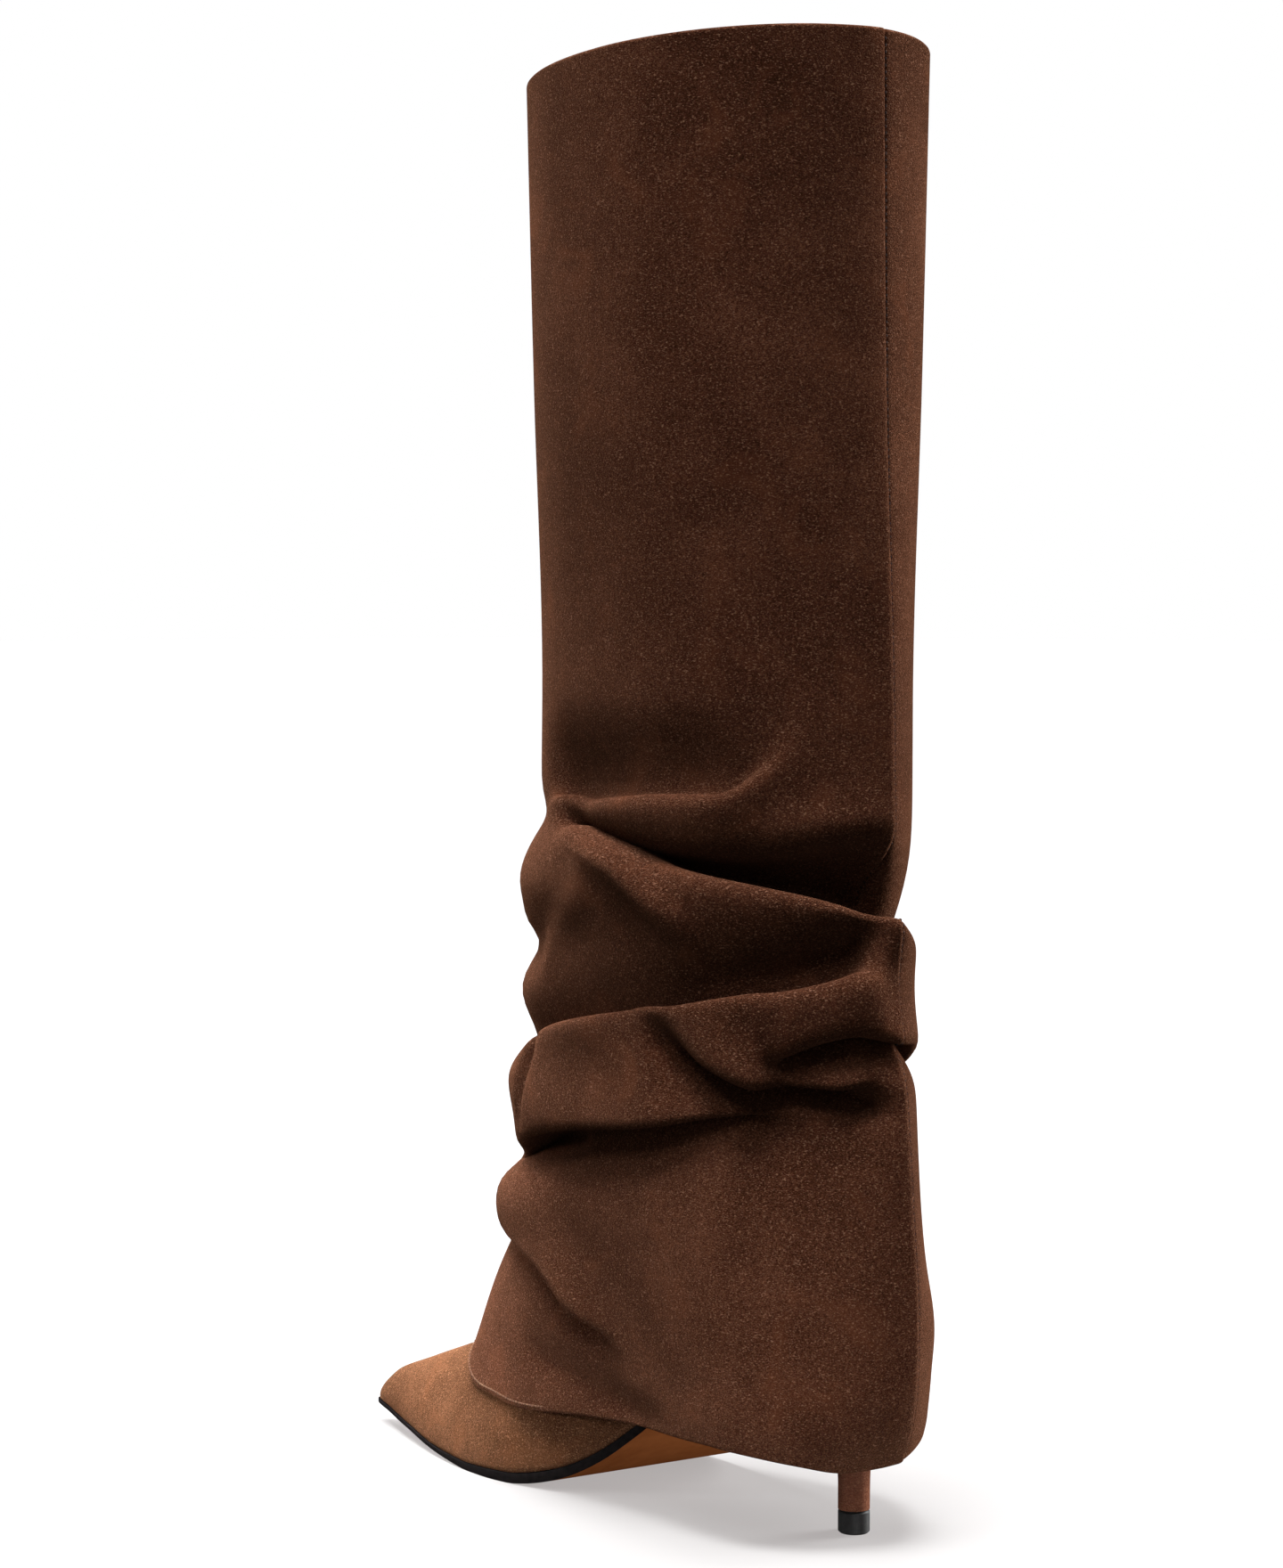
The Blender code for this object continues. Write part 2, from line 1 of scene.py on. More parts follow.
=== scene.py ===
"""The looks of a right slouched knee-high dress boot in brown suede.

Sizes are in millimetres. A point is (forward, medial, up): forward runs from the centre of the
heel's tip towards the toe, medial towards the wearer's left, and the floor is up = 0.
Angles run round the shaft from its back seam, positive towards medial, in degrees.
"""

import math

import bmesh
import bpy
import numpy as np
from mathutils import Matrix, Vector


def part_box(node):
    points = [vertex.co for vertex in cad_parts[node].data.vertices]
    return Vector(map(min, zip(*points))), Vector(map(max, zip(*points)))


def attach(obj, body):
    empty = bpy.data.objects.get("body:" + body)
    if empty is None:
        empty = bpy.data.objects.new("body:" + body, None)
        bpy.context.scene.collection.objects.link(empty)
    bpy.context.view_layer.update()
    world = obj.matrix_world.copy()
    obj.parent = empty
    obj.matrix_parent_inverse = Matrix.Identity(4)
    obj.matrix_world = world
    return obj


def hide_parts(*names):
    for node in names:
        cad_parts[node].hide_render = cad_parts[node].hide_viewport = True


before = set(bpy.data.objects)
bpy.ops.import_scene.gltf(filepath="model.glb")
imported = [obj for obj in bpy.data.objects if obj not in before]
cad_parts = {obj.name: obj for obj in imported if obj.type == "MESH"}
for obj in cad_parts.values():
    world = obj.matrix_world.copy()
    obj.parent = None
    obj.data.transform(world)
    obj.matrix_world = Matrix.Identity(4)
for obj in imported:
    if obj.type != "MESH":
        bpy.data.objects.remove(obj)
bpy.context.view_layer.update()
tip_low, tip_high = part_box("heel_tip")

MM = 0.001
HEEL_TIP = (0.5 * (tip_low[0] + tip_high[0]), 0.5 * (tip_low[1] + tip_high[1]), tip_low[2])

# Camera, from the heel's tip
CAMERA_FORWARD = -686.0
CAMERA_MEDIAL = 778.0
CAMERA_UP = 280.5
CAMERA_PITCH = 2.83
CAMERA_TURN = 135.0
SENSOR = 36.0
LENS = 78.5

# How finely curves are followed, and how close points are welded
TURN_STEP = 0.002
ANGLE_STEP = 0.5
REST_POINTS = 40
REST_ROUNDS = 12
WELD = 0.01
STITCH_WELD = 0.001

# Sole and last
JOIN_GAP = 0.3
TOE_TIP = 214.0
HEEL_BACK = -19.0
LAST_MIDDLE = 0.5 * (TOE_TIP + HEEL_BACK)
LAST_HALF = 0.5 * (TOE_TIP - HEEL_BACK)
SOLE_MARGIN = 0.6
SOLE_ROUNDING = 0.45
SOLE_ROUNDING_STEPS = 2
SOLE_EDGE_ANGLE = 50.0
INSOLE_THICK = 2.0
INSOLE_INSET = 2.4
UPPER_WALL = 1.6
TOPLINE_HEIGHT = 168.0
TOPLINE_HALF_WIDTH = 34.0
ANKLE_SPAN = (48.0, 84.0)
ANKLE_PINCH = 9.0
ANKLE_DROP = 0.4
VAMP_BACK = 92.0
COUNTER_BULGE = 1.6
BULGE_TURN = 0.5
LAST_STATIONS = 121
LAST_RIB_POINTS = 49
SOLE_STRIPS = 12

# Heel
TIP_RADIUS = 4.9
TIP_HEIGHT = 7.0
TIP_EDGE = 0.5
HEEL_POINTS = 64
HEEL_RINGS = 60
HEEL_RING_GATHER = 1.3
HEEL_SHARP_ANGLE = 40.0
SEAT_SCALES = (0.3, 0.6, 0.85)

# Shaft
SHAFT_WALL = 1.8
COLLAR_HEIGHT = 453.8
COLLAR_FRONT_DROP = 10.5
SEAM_STEP = 1.0
SEAM_HALF_ANGLE = 0.35
SEAM_FADE_ANGLE = 16.0
SEAM_ANGLE = 3.0
SEAM_GROOVE = 0.4
SEAM_GROOVE_ANGLE = -1.6
SEAM_GROOVE_WIDTH = 0.8
SEAM_ROUNDING = 1.5
SEAM_CORNER = 1.6
SEAM_CORNER_ANGLE = 10.0
SEAM_CORNER_SPAN = (26.0, 60.0)
SEAM_CORNER_END = (240.0, 400.0)
SHAFT_COLUMNS = 196
SEAM_COLUMNS = (-2.6, -2.1, -1.6, -1.1, -0.6, -0.3, 0.0, 0.3, 0.8, 1.5)
SEAM_SPAN = 2.7
RIM_ROWS = 5
HEM_GAP = 0.15
HEM_CLEARANCE = HEM_GAP + 0.5 * SHAFT_WALL
HEM_SOFTENING = 6

# The sole bends along a line that runs further back on the outer side of the ball
BALL_LINE_SLANT = 0.22
SOLE_PROFILE = (
    # forward, bottom of the sole
    (TOE_TIP, 6.8),
    (199.0, 5.4),
    (181.0, 3.9),
    (166.0, 2.5),
    (151.0, 1.3),
    (139.0, 0.5),
    (132.0, 0.0),
    (111.0, 0.0),
    (104.0, 0.8),
    (97.0, 2.3),
    (89.0, 4.9),
    (81.0, 8.8),
    (73.0, 13.9),
    (65.0, 20.2),
    (55.0, 28.4),
    (45.0, 36.0),
    (30.0, 45.4),
    (15.0, 53.0),
    (0.0, 59.0),
    (HEEL_BACK, 64.5),
)

SOLE_THICKNESS = (
    # forward, thickness of the sole
    (TOE_TIP, 1.2),
    (168.0, 1.2),
    (142.0, 1.9),
    (120.0, 2.8),
    (92.0, 3.5),
    (HEEL_BACK, 3.5),
)

MEDIAL_EDGE = 1
LATERAL_EDGE = 2
TOP_MIDDLE = 5
TOP_COLUMNS = range(3, 8)
LAST_SECTIONS = (
    # forward, medial edge, lateral edge, top forward, top up, top middle, top half width, fullness
    (TOE_TIP, 6.5, 6.5, 211.0, 11.5, 6.5, 0.0, 0.55),
    (205.0, 11.0, 1.6, 204.5, 19.0, 6.2, 0.0, 0.52),
    (185.0, 19.0, -9.5, 185.0, 27.2, 5.6, 0.0, 0.47),
    (160.0, 28.2, -21.0, 160.0, 37.0, 4.6, 0.0, 0.42),
    (140.0, 33.2, -29.5, 140.0, 46.0, 3.5, 0.0, 0.42),
    (125.0, 34.9, -34.0, 125.0, 55.5, 2.5, 0.0, 0.44),
    (108.0, 33.6, -36.5, 108.0, 71.0, 1.5, 0.0, 0.48),
    (90.0, 30.0, -35.3, 94.0, 98.0, 0.5, 0.0, 0.50),
    (76.0, 27.0, -33.0, 89.0, 140.0, 0.0, 0.0, 0.50),
    (66.0, 25.0, -31.0, 90.0, TOPLINE_HEIGHT, 0.0, 0.0, 0.50),
    (59.0, 24.2, -29.9, 87.5, TOPLINE_HEIGHT, 0.3, 14.0, 0.46),
    (45.0, 23.6, -27.5, 73.0, TOPLINE_HEIGHT, 0.5, 27.0, 0.40),
    (25.0, 24.4, -25.8, 42.0, TOPLINE_HEIGHT, 1.0, TOPLINE_HALF_WIDTH, 0.35),
    (8.0, 24.0, -24.4, 18.0, TOPLINE_HEIGHT, 1.0, 24.0, 0.30),
    (-8.0, 18.5, -18.5, 5.5, TOPLINE_HEIGHT, 0.5, 11.5, 0.26),
    (HEEL_BACK, 0.0, 0.0, 0.0, TOPLINE_HEIGHT, 0.0, 0.0, 0.25),
)

HEEL_COLUMNS = range(1, 4)
HEEL_SECTIONS = (
    # share of the way down, back, front, half width
    (0.00, -16.8, 26.0, 20.5),
    (0.10, -16.2, 21.0, 17.5),
    (0.25, -13.0, 12.5, 12.0),
    (0.45, -8.6, 7.2, 7.4),
    (0.65, -5.8, 5.3, 5.4),
    (0.85, -5.0, 4.9, 4.9),
    (1.00, -TIP_RADIUS, TIP_RADIUS, TIP_RADIUS),
)

PLAN_COLUMNS = range(1, 5)
MEDIAL_ROUNDNESS = 5
LATERAL_ROUNDNESS = 6
FRONT_TAPER = 7
SHAFT_SECTIONS = (
    # up, back, front, widest at, half width, medial back roundness, lateral back roundness, front taper
    (COLLAR_HEIGHT, -11.0, 119.0, 53.0, 59.5, 1.92, 1.90, 1.0),
    (350.0, -11.5, 119.3, 53.0, 54.3, 1.85, 1.85, 1.0),
    (250.0, -13.5, 121.0, 53.0, 47.0, 1.72, 1.72, 1.0),
    (200.0, -14.5, 122.5, 52.0, 47.0, 1.68, 1.65, 1.0),
    (150.0, -18.0, 127.0, 50.0, 46.0, 1.65, 1.52, 1.0),
    (105.0, -21.5, 136.0, 45.0, 45.0, 1.70, 1.45, 1.0),
    (70.0, -23.8, 147.0, 35.0, 43.5, 1.75, 1.47, 0.92),
    (48.0, -23.8, 155.0, 27.0, 42.0, 1.80, 1.48, 0.80),
    (36.0, -22.6, 160.0, 23.5, 41.4, 1.83, 1.47, 0.75),
    (24.0, -18.6, 165.0, 20.0, 39.8, 1.85, 1.46, 0.60),
)

HEM_LINE = (
    # angle from the back seam, up
    (-180.0, 30.0),
    (-150.0, 26.5),
    (-132.0, 26.0),
    (-115.0, 29.5),
    (-90.0, 31.0),
    (-50.0, 31.5),
    (-15.0, 28.5),
    (0.0, 26.5),
    (16.0, 25.0),
    (31.0, 24.6),
    (50.0, 27.0),
    (75.0, 29.6),
    (100.0, 30.7),
    (113.0, 30.2),
    (122.0, 27.6),
    (132.0, 25.6),
    (150.0, 26.5),
    (180.0, 30.0),
)

FADE_SOFTENING = 1.6
LOWER_OUT = -1.0
UPPER_OUT = 1.0
NO_BELT = -1
CREASES = (
    # belt from the collar down, angles from and to, up at five even places between them, fade in and out,
    # step with mean out, tuck and edge, reach up and down, outer lip
    (0, (32.0, 140.0), (246.0, 227.0, 227.5, 227.5, 217.0), (24.0, 24.0),
     (7.0, 0.0, 8.0, 2.8), (14.0, 10.0), LOWER_OUT),
    (NO_BELT, (-20.0, 124.0), (204.0, 214.5, 211.5, 214.5, 219.0), (44.0, 20.0),
     (11.0, -1.0, 5.0, 4.2), (9.0, 14.0), UPPER_OUT),
    (1, (-100.0, 132.0), (166.0, 173.4, 190.3, 201.2, 218.0), (26.0, 24.0),
     (15.0, -3.0, 18.0, 4.4), (20.0, 15.0), LOWER_OUT),
    (2, (0.0, 190.0), (176.0, 165.5, 156.5, 142.0, 118.0), (22.0, 76.0),
     (13.0, -1.5, 16.0, 4.2), (14.0, 14.0), LOWER_OUT),
    (2, (-170.0, -72.0), (118.0, 140.0, 156.0, 163.0, 166.0), (30.0, 30.0),
     (8.0, 0.0, 12.0, 4.4), (20.0, 14.0), LOWER_OUT),
    (3, (-80.0, 52.0), (120.0, 142.0, 152.5, 154.5, 147.0), (10.0, 10.0),
     (12.0, -4.0, 11.0, 2.6), (11.0, 8.0), UPPER_OUT),
    (4, (8.0, 84.0), (139.0, 140.0, 140.5, 146.0, 153.0), (20.0, 22.0),
     (12.0, -1.0, 11.0, 2.8), (9.0, 16.0), UPPER_OUT),
    (5, (16.0, 190.0), (118.0, 129.0, 124.0, 110.5, 84.0), (46.0, 32.0),
     (10.0, -1.5, 12.0, 2.9), (13.0, 18.0), UPPER_OUT),
    (5, (-170.0, -50.0), (84.0, 98.0, 112.0, 119.0, 121.0), (28.0, 28.0),
     (8.0, 0.0, 12.0, 3.8), (14.0, 18.0), UPPER_OUT),
    (6, (102.0, 200.0), (50.0, 78.0, 82.0, 76.0, 64.0), (12.0, 18.0),
     (12.0, 0.0, 13.0, 2.6), (13.0, 13.0), UPPER_OUT),
)
BELT_ROWS = (34, 26, 34, 28, 20, 22, 26, 22)
BELT_SPACE = 6.0

RIDGES = (
    # angles from and to, up at five even places between them, fade in and out, out, width
    ((46.0, 136.0), (240.0, 238.0, 237.5, 237.0, 233.0), (24.0, 24.0), -3.6, 9.0),
    ((-24.0, 122.0), (190.0, 202.0, 205.0, 208.5, 216.0), (40.0, 24.0), -9.0, 7.0),
    ((60.0, 120.0), (180.0, 188.0, 197.0, 204.0, 211.0), (18.0, 18.0), 4.5, 4.2),
    ((66.0, 112.0), (190.0, 197.0, 205.0, 211.0, 216.0), (14.0, 14.0), -2.0, 4.5),
    ((94.0, 136.0), (198.0, 192.0, 185.0, 177.0, 168.0), (12.0, 12.0), 2.0, 7.0),
    ((6.0, 78.0), (181.0, 180.0, 177.0, 174.0, 170.0), (14.0, 46.0), -5.5, 3.8),
    ((96.0, 190.0), (186.0, 182.0, 178.0, 176.0, 174.0), (26.0, 26.0), -3.0, 8.0),
    ((56.0, 106.0), (149.0, 151.0, 152.0, 152.0, 152.0), (18.0, 18.0), -3.0, 8.0),
    ((4.0, 84.0), (132.0, 133.0, 134.0, 141.0, 150.0), (12.0, 12.0), -5.0, 5.0),
    ((125.0, 138.0), (150.0, 144.0, 137.0, 130.0, 124.0), (4.0, 4.0), -3.0, 6.0),
    ((108.0, 170.0), (112.0, 110.0, 107.0, 103.0, 99.0), (16.0, 16.0), -8.0, 5.0),
    ((94.0, 136.0), (32.0, 35.0, 39.0, 43.0, 48.0), (14.0, 14.0), -4.5, 6.0),
    ((-80.0, 16.0), (152.0, 160.0, 168.0, 169.0, 168.0), (24.0, 14.0), -2.4, 12.0),
)

SWELLS = (
    # angle, up, angle spread, up spread, out
    (148.0, 217.0, 24.0, 7.0, -2.4),
    (150.0, 196.0, 34.0, 14.0, 6.5),
    (152.0, 182.0, 24.0, 6.0, 3.0),
    (152.0, 160.0, 30.0, 11.0, 5.0),
    (154.0, 129.0, 40.0, 9.0, 5.0),
    (156.0, 110.0, 26.0, 5.0, -2.4),
    (156.0, 95.0, 34.0, 7.0, 7.0),
    (154.0, 83.0, 24.0, 4.0, -2.5),
    (88.0, 184.0, 9.0, 8.0, -1.2),
    (-30.0, 64.0, 24.0, 14.0, 2.0),
    (-120.0, 140.0, 40.0, 16.0, 4.0),
)

# Stitches
STITCH_SIDES = 6
STITCH_AIM = 0.2
STITCH_RINGS = (
    # place along the stitch, fatness, rise
    (-0.5, 0.35, -0.6),
    (-0.36, 1.0, 0.6),
    (0.0, 1.1, 1.0),
    (0.36, 1.0, 0.6),
    (0.5, 0.35, -0.6),
)
SEAM_STITCH_SPACE = 2.0
SEAM_STITCH_LENGTH = 1.0
SEAM_STITCH_RADIUS = 0.32
VAMP_STITCH_SPACE = 1.6
VAMP_STITCH_LENGTH = 0.85
VAMP_STITCH_RADIUS = 0.28
VAMP_STITCH_INSET = 1.0
VAMP_STITCH_ANGLE = 122.0

# Suede
SUEDES = {
    # dark, middle and light tone, light fibre tips that are partly painted highlights on the nap, share of
    # the fibres in the tone
    "shaft_suede": ((0.013, 0.0045, 0.0023), (0.034, 0.0120, 0.0064), (0.104, 0.0410, 0.0220),
                    (0.180, 0.090, 0.056), 0.7),
    # The vamp's suede is a lighter, yellower copy of the shaft's: painted light on the toe and vamp
    "upper_suede": ((0.015, 0.0060, 0.0026), (0.043, 0.0180, 0.0082), (0.125, 0.0560, 0.0270),
                    (0.180, 0.092, 0.050), 0.60),
    # The heel's suede is a far lighter copy of the shaft's: painted light on the heel under the skirt
    "heel_suede": ((0.070, 0.0250, 0.0145), (0.120, 0.0440, 0.0260), (0.190, 0.075, 0.046),
                   (0.240, 0.110, 0.065), 0.7),
}
TONE_PLACES = (0.36, 0.5, 0.64)
NAP_STRETCH = (1.0, 1.0, 1.8)
NAP_DEPTH = 1.5
RUBBED_WARMTH = (0.85, 0.72, 0.62)
RUBBED_SPAN = (0.54, 0.72)
RUBBED_MOST = 0.4
# Light flecks: fibre tips, partly painted highlights where the nap's bumps catch light
TIPS_AND_HIGHLIGHTS_SPAN = (0.58, 0.76)
TIPS_AND_HIGHLIGHTS_MOST = 0.8
SHEEN_WEIGHT = 0.15
SHEEN_ROUGHNESS = 0.2
SHEEN_TINT = (0.90, 0.44, 0.25, 1.0)

# Dark and light tone of the other materials
LINING_TONES = ((0.045, 0.022, 0.012), (0.075, 0.040, 0.024))
SOLE_TONES = ((0.19, 0.056, 0.016), (0.27, 0.085, 0.026))
INK_TONES = ((0.0025, 0.0022, 0.0022), (0.006, 0.005, 0.005))
RUBBER_TONES = ((0.006, 0.0055, 0.0055), (0.013, 0.012, 0.012))
DARK_THREAD_TONES = ((0.008, 0.004, 0.003), (0.020, 0.010, 0.008))
TAN_THREAD_TONES = ((0.085, 0.042, 0.025), (0.150, 0.080, 0.048))
LEATHER_PLACES = (0.35, 0.65)
BLACK_PLACES = (0.3, 0.7)

# Sockets of the node that mixes values or colours
MIX_SHARE = 0
MIX_VALUES = (2, 3)
MIX_COLOURS = (6, 7)
MIXED_VALUE = 0
MIXED_COLOUR = 2

# Floor and surround, in metres
FLOOR_HALF = 30.0
FLOOR_TONE = (0.095, 0.095, 0.095, 1.0)
FLOOR_GLOW = (1.0, 0.94, 0.93, 1.0)
FLOOR_GLOW_STRENGTH = 0.42
WHITE = (1.0, 1.0, 1.0, 1.0)
BACKDROP_STRENGTH = 1.0
FILL_STRENGTH = 0.18

# Lights: places are in metres, left, away and up from the boot's middle as the camera sees it
BOOT_MIDDLE = (0.0, 0.0, 0.22)
HEEL_SPOT = (0.0, 0.09, 0.0)
TOE_SPOT = (200.0, 8.0, 12.0)
KEY_PLACE = (0.10, 0.03, 1.0)
KEY_STRENGTH = 21.5
KEY_SOFTNESS = 40.0
WIDE = 180.0
NARROW = 14.0
AREA_LIGHTS = (
    # name, aim, place, power, width, height, spread
    ("front_top", "boot", (0.6, -0.8, 1.5), 20.0, 0.9, 0.5, WIDE),
    ("heel_card", "heel", (-0.25, -0.9, 0.10), 0.06, 0.2, 0.1, NARROW),
    ("left_strip", "boot", (1.0, 1.65, 0.35), 125.0, 0.3, 1.2, WIDE),
    ("toe_card", "toe", (0.9, -0.1, 0.25), 0.24, 0.2, 0.1, NARROW),
    ("right_strip", "boot", (-1.0, 0.35, 0.4), 50.0, 0.35, 1.2, WIDE),
)


# Curves

def smooth(table, column, at):
    """Read one column of a table at any place along its first column, without overshoot."""
    rows = sorted(table)
    place = np.array([row[0] for row in rows], float)
    value = np.array([row[column] for row in rows], float)
    span = np.diff(place)
    slope = np.diff(value) / span
    tangent = np.zeros_like(value)
    tangent[0] = slope[0]
    tangent[-1] = slope[-1]
    for i in range(1, len(rows) - 1):
        if slope[i - 1] * slope[i] > 0.0:
            before = 2.0 * span[i] + span[i - 1]
            after = span[i] + 2.0 * span[i - 1]
            tangent[i] = (before + after) / (before / slope[i - 1] + after / slope[i])
    at = np.clip(np.asarray(at, float), place[0], place[-1])
    i = np.clip(np.searchsorted(place, at) - 1, 0, len(rows) - 2)
    t = (at - place[i]) / span[i]
    start = value[i] * (1.0 + 2.0 * t) * (1.0 - t) ** 2 + span[i] * tangent[i] * t * (1.0 - t) ** 2
    end = value[i + 1] * t ** 2 * (3.0 - 2.0 * t) + span[i] * tangent[i + 1] * t ** 2 * (t - 1.0)
    return start + end


def ease(low, high, at):
    """Rise smoothly from 0 at low to 1 at high."""
    t = np.clip((np.asarray(at, float) - low) / (high - low), 0.0, 1.0)
    return t * t * (3.0 - 2.0 * t)


def bezier(points, count):
    t = np.linspace(0.0, 1.0, count)[:, None]
    a, b, c, d = [np.asarray(p, float) for p in points]
    return (a * (1.0 - t) ** 3 + 3.0 * b * t * (1.0 - t) ** 2
            + 3.0 * c * t ** 2 * (1.0 - t) + d * t ** 3)


def unit(vectors):
    return vectors / np.linalg.norm(vectors, axis=-1, keepdims=True)


def lengths_along(line):
    """Length of a line of points up to each of them."""
    steps = np.linalg.norm(np.diff(line, axis=0), axis=1)
    return np.concatenate([[0.0], np.cumsum(steps)])


def read_along(values, lengths, at):
    """Read a row of points or directions at a length along its line."""
    return np.array([np.interp(at, lengths, values[:, k]) for k in range(3)])


# Last

def station_forward(turn):
    """Forward place of an outline station: turn 0 is the toe tip and pi the back of the heel."""
    return LAST_MIDDLE + LAST_HALF * np.cos(turn)


def turn_at(forward):
    """Turn of the outline station at a forward place."""
    return float(np.arccos(np.clip((forward - LAST_MIDDLE) / LAST_HALF, -1.0, 1.0)))


def by_turn(table, column, turn):
    """Read a table in the turn of its stations, so that toe and heel close roundly."""
    turned = [(turn_at(row[0]), row[column]) for row in table]
    return smooth(turned, 1, turn)


def outline(turn, side, inset=0.0):
    """Plan point of the last's edge, moved inward by inset along the edge's own normal."""
    column = MEDIAL_EDGE if side > 0 else LATERAL_EDGE
    here = np.array([station_forward(turn), by_turn(LAST_SECTIONS, column, turn)])
    low = max(turn - TURN_STEP, 0.0)
    high = min(turn + TURN_STEP, np.pi)
    along = np.array([station_forward(high) - station_forward(low),
                      by_turn(LAST_SECTIONS, column, high) - by_turn(LAST_SECTIONS, column, low)])
    outward = np.array([-along[1], along[0]]) * -side
    if turn <= 0.0:
        outward = np.array([1.0, 0.0])
    if turn >= np.pi:
        outward = np.array([-1.0, 0.0])
    outward = outward / np.hypot(*outward)
    return here - inset * outward, outward


def sole_bottom(forward, medial):
    """Height of the sole's underside."""
    return smooth(SOLE_PROFILE, 1, forward - BALL_LINE_SLANT * medial)


def sole_top(forward, medial):
    """Height of the sole's upper face."""
    return sole_bottom(forward, medial) + smooth(SOLE_THICKNESS, 1, forward - BALL_LINE_SLANT * medial)


def insole_bottom(forward, medial):
    return sole_top(forward, medial) + JOIN_GAP


def insole_top(forward, medial):
    return insole_bottom(forward, medial) + INSOLE_THICK


def last_rib(turn, side, count=LAST_RIB_POINTS):
    """Points of the upper from its feather edge up to the ridge of the vamp or to the topline."""
    edge, outward = outline(turn, side)
    foot = np.array([edge[0], edge[1], sole_top(*edge) + JOIN_GAP])
    forward, up, middle, half, fullness = [by_turn(LAST_SECTIONS, column, turn) for column in TOP_COLUMNS]
    top = np.array([forward, middle + side * half, up])
    rise = top[2] - foot[2]
    bulge = np.array([outward[0], outward[1], 0.0]) * COUNTER_BULGE * ease(0.0, BULGE_TURN, turn)
    low = foot + bulge + np.array([0.0, 0.0, fullness * rise])
    across = foot - top
    across[2] = 0.0
    over = top + fullness * across
    upright = 1.0 - ease(*ANKLE_SPAN, foot[0])
    under = top - np.array([0.0, side * ANKLE_PINCH * half / TOPLINE_HALF_WIDTH, ANKLE_DROP * rise])
    high = over * (1.0 - upright) + under * upright
    return bezier((foot, low, high, top), count)


def vamp_rest(forward, medial):
    """Height at which a sheet's middle lies on the vamp, or zero off the vamp."""
    if forward < VAMP_BACK or forward >= TOE_TIP:
        return 0.0
    turn = turn_at(forward)
    crest = by_turn(LAST_SECTIONS, TOP_MIDDLE, turn)
    side = 1.0 if medial >= crest else -1.0
    rib = last_rib(turn, side, REST_POINTS)
    along = np.gradient(rib[:, 1:], axis=0)
    normal = unit(np.stack([along[:, 1], -along[:, 0]], 1) * side)
    lifted = rib[:, 1:] + HEM_CLEARANCE * normal
    order = np.argsort(lifted[:, 0] * side)
    reach = lifted[order, 0] * side
    if medial * side > reach[-1]:
        return 0.0
    return float(np.interp(medial * side, reach, lifted[order, 1]))


# Shaft

def shaft_plan(angle, up):
    """Plan point of the plain leg at an angle from the back seam."""
    back, front, widest, half = [smooth(SHAFT_SECTIONS, column, up) for column in PLAN_COLUMNS]
    turn = np.radians(angle)
    inner = smooth(SHAFT_SECTIONS, MEDIAL_ROUNDNESS, up)
    outer = smooth(SHAFT_SECTIONS, LATERAL_ROUNDNESS, up)
    roundness = np.where(np.sin(turn) > 0.0, inner, outer)
    behind = np.clip(np.cos(turn), 0.0, 1.0)
    ahead = np.clip(-np.cos(turn), 0.0, 1.0)
    taper = smooth(SHAFT_SECTIONS, FRONT_TAPER, up)
    forward = widest - (widest - back) * behind ** (2.0 / roundness) + (front - widest) * ahead
    power = np.where(np.cos(turn) > 0.0, 2.0 / roundness, taper)
    medial = half * np.sign(np.sin(turn)) * np.abs(np.sin(turn)) ** power
    return forward, medial


def outward_of(angle, up):
    """Plan direction out of the plain leg."""
    ahead = np.stack(shaft_plan(angle + ANGLE_STEP, up), -1)
    before = np.stack(shaft_plan(angle - ANGLE_STEP, up), -1)
    along = ahead - before
    return unit(np.stack([-along[..., 1], along[..., 0]], -1))


def fold_line(span, heights, fades, angle):
    """Height of a fold's line through its even places, and its strength around the leg."""
    start, end = span
    fade_in, fade_out = fades
    around = start + (angle - start) % 360.0
    line = list(zip(np.linspace(start, end, len(heights)), heights))
    height = smooth(line, 1, around)
    strength = ease(start, start + fade_in, around) * (1.0 - ease(end - fade_out, end, around))
    return height, strength


def fold_shift(angle, up):
    """Outward and upward shift of the leg's wall by its folds, swells and back seam."""
    out = np.zeros(np.broadcast(angle, up).shape)
    lift = np.zeros_like(out)
    for _, span, heights, fades, (step, mean, tuck, edge), (reach_up, reach_down), lip in CREASES:
        height, strength = fold_line(span, heights, fades, angle)
        above = up - height
        reach = np.where(above > 0.0, reach_up, reach_down)
        near = strength * np.exp(-(above / reach) ** 2)
        soft_edge = edge * (1.0 + FADE_SOFTENING * (1.0 - strength))
        wave = near * np.tanh(above / soft_edge)
        out = out + lip * 0.5 * step * wave + mean * near
        lift = lift - 0.5 * tuck * wave
    for span, heights, fades, rise, width in RIDGES:
        height, strength = fold_line(span, heights, fades, angle)
        out = out + rise * strength * np.exp(-((up - height) / width) ** 2)
    for centre, height, wide, tall, rise in SWELLS:
        away = (angle - centre + 180.0) % 360.0 - 180.0
        out = out + rise * np.exp(-(away / wide) ** 2 - ((up - height) / tall) ** 2)
    beyond = angle - SEAM_ANGLE
    lap = ease(-SEAM_HALF_ANGLE, SEAM_HALF_ANGLE, beyond)
    out = out + SEAM_STEP * lap * (1.0 - ease(SEAM_HALF_ANGLE, SEAM_FADE_ANGLE, beyond))
    corner = np.exp(-np.hypot(beyond, SEAM_ROUNDING) / SEAM_CORNER_ANGLE)
    out = out + SEAM_CORNER * corner * ease(*SEAM_CORNER_SPAN, up) * (1.0 - ease(*SEAM_CORNER_END, up))
    out = out - SEAM_GROOVE * np.exp(-((beyond - SEAM_GROOVE_ANGLE) / SEAM_GROOVE_WIDTH) ** 2)
    return out, lift


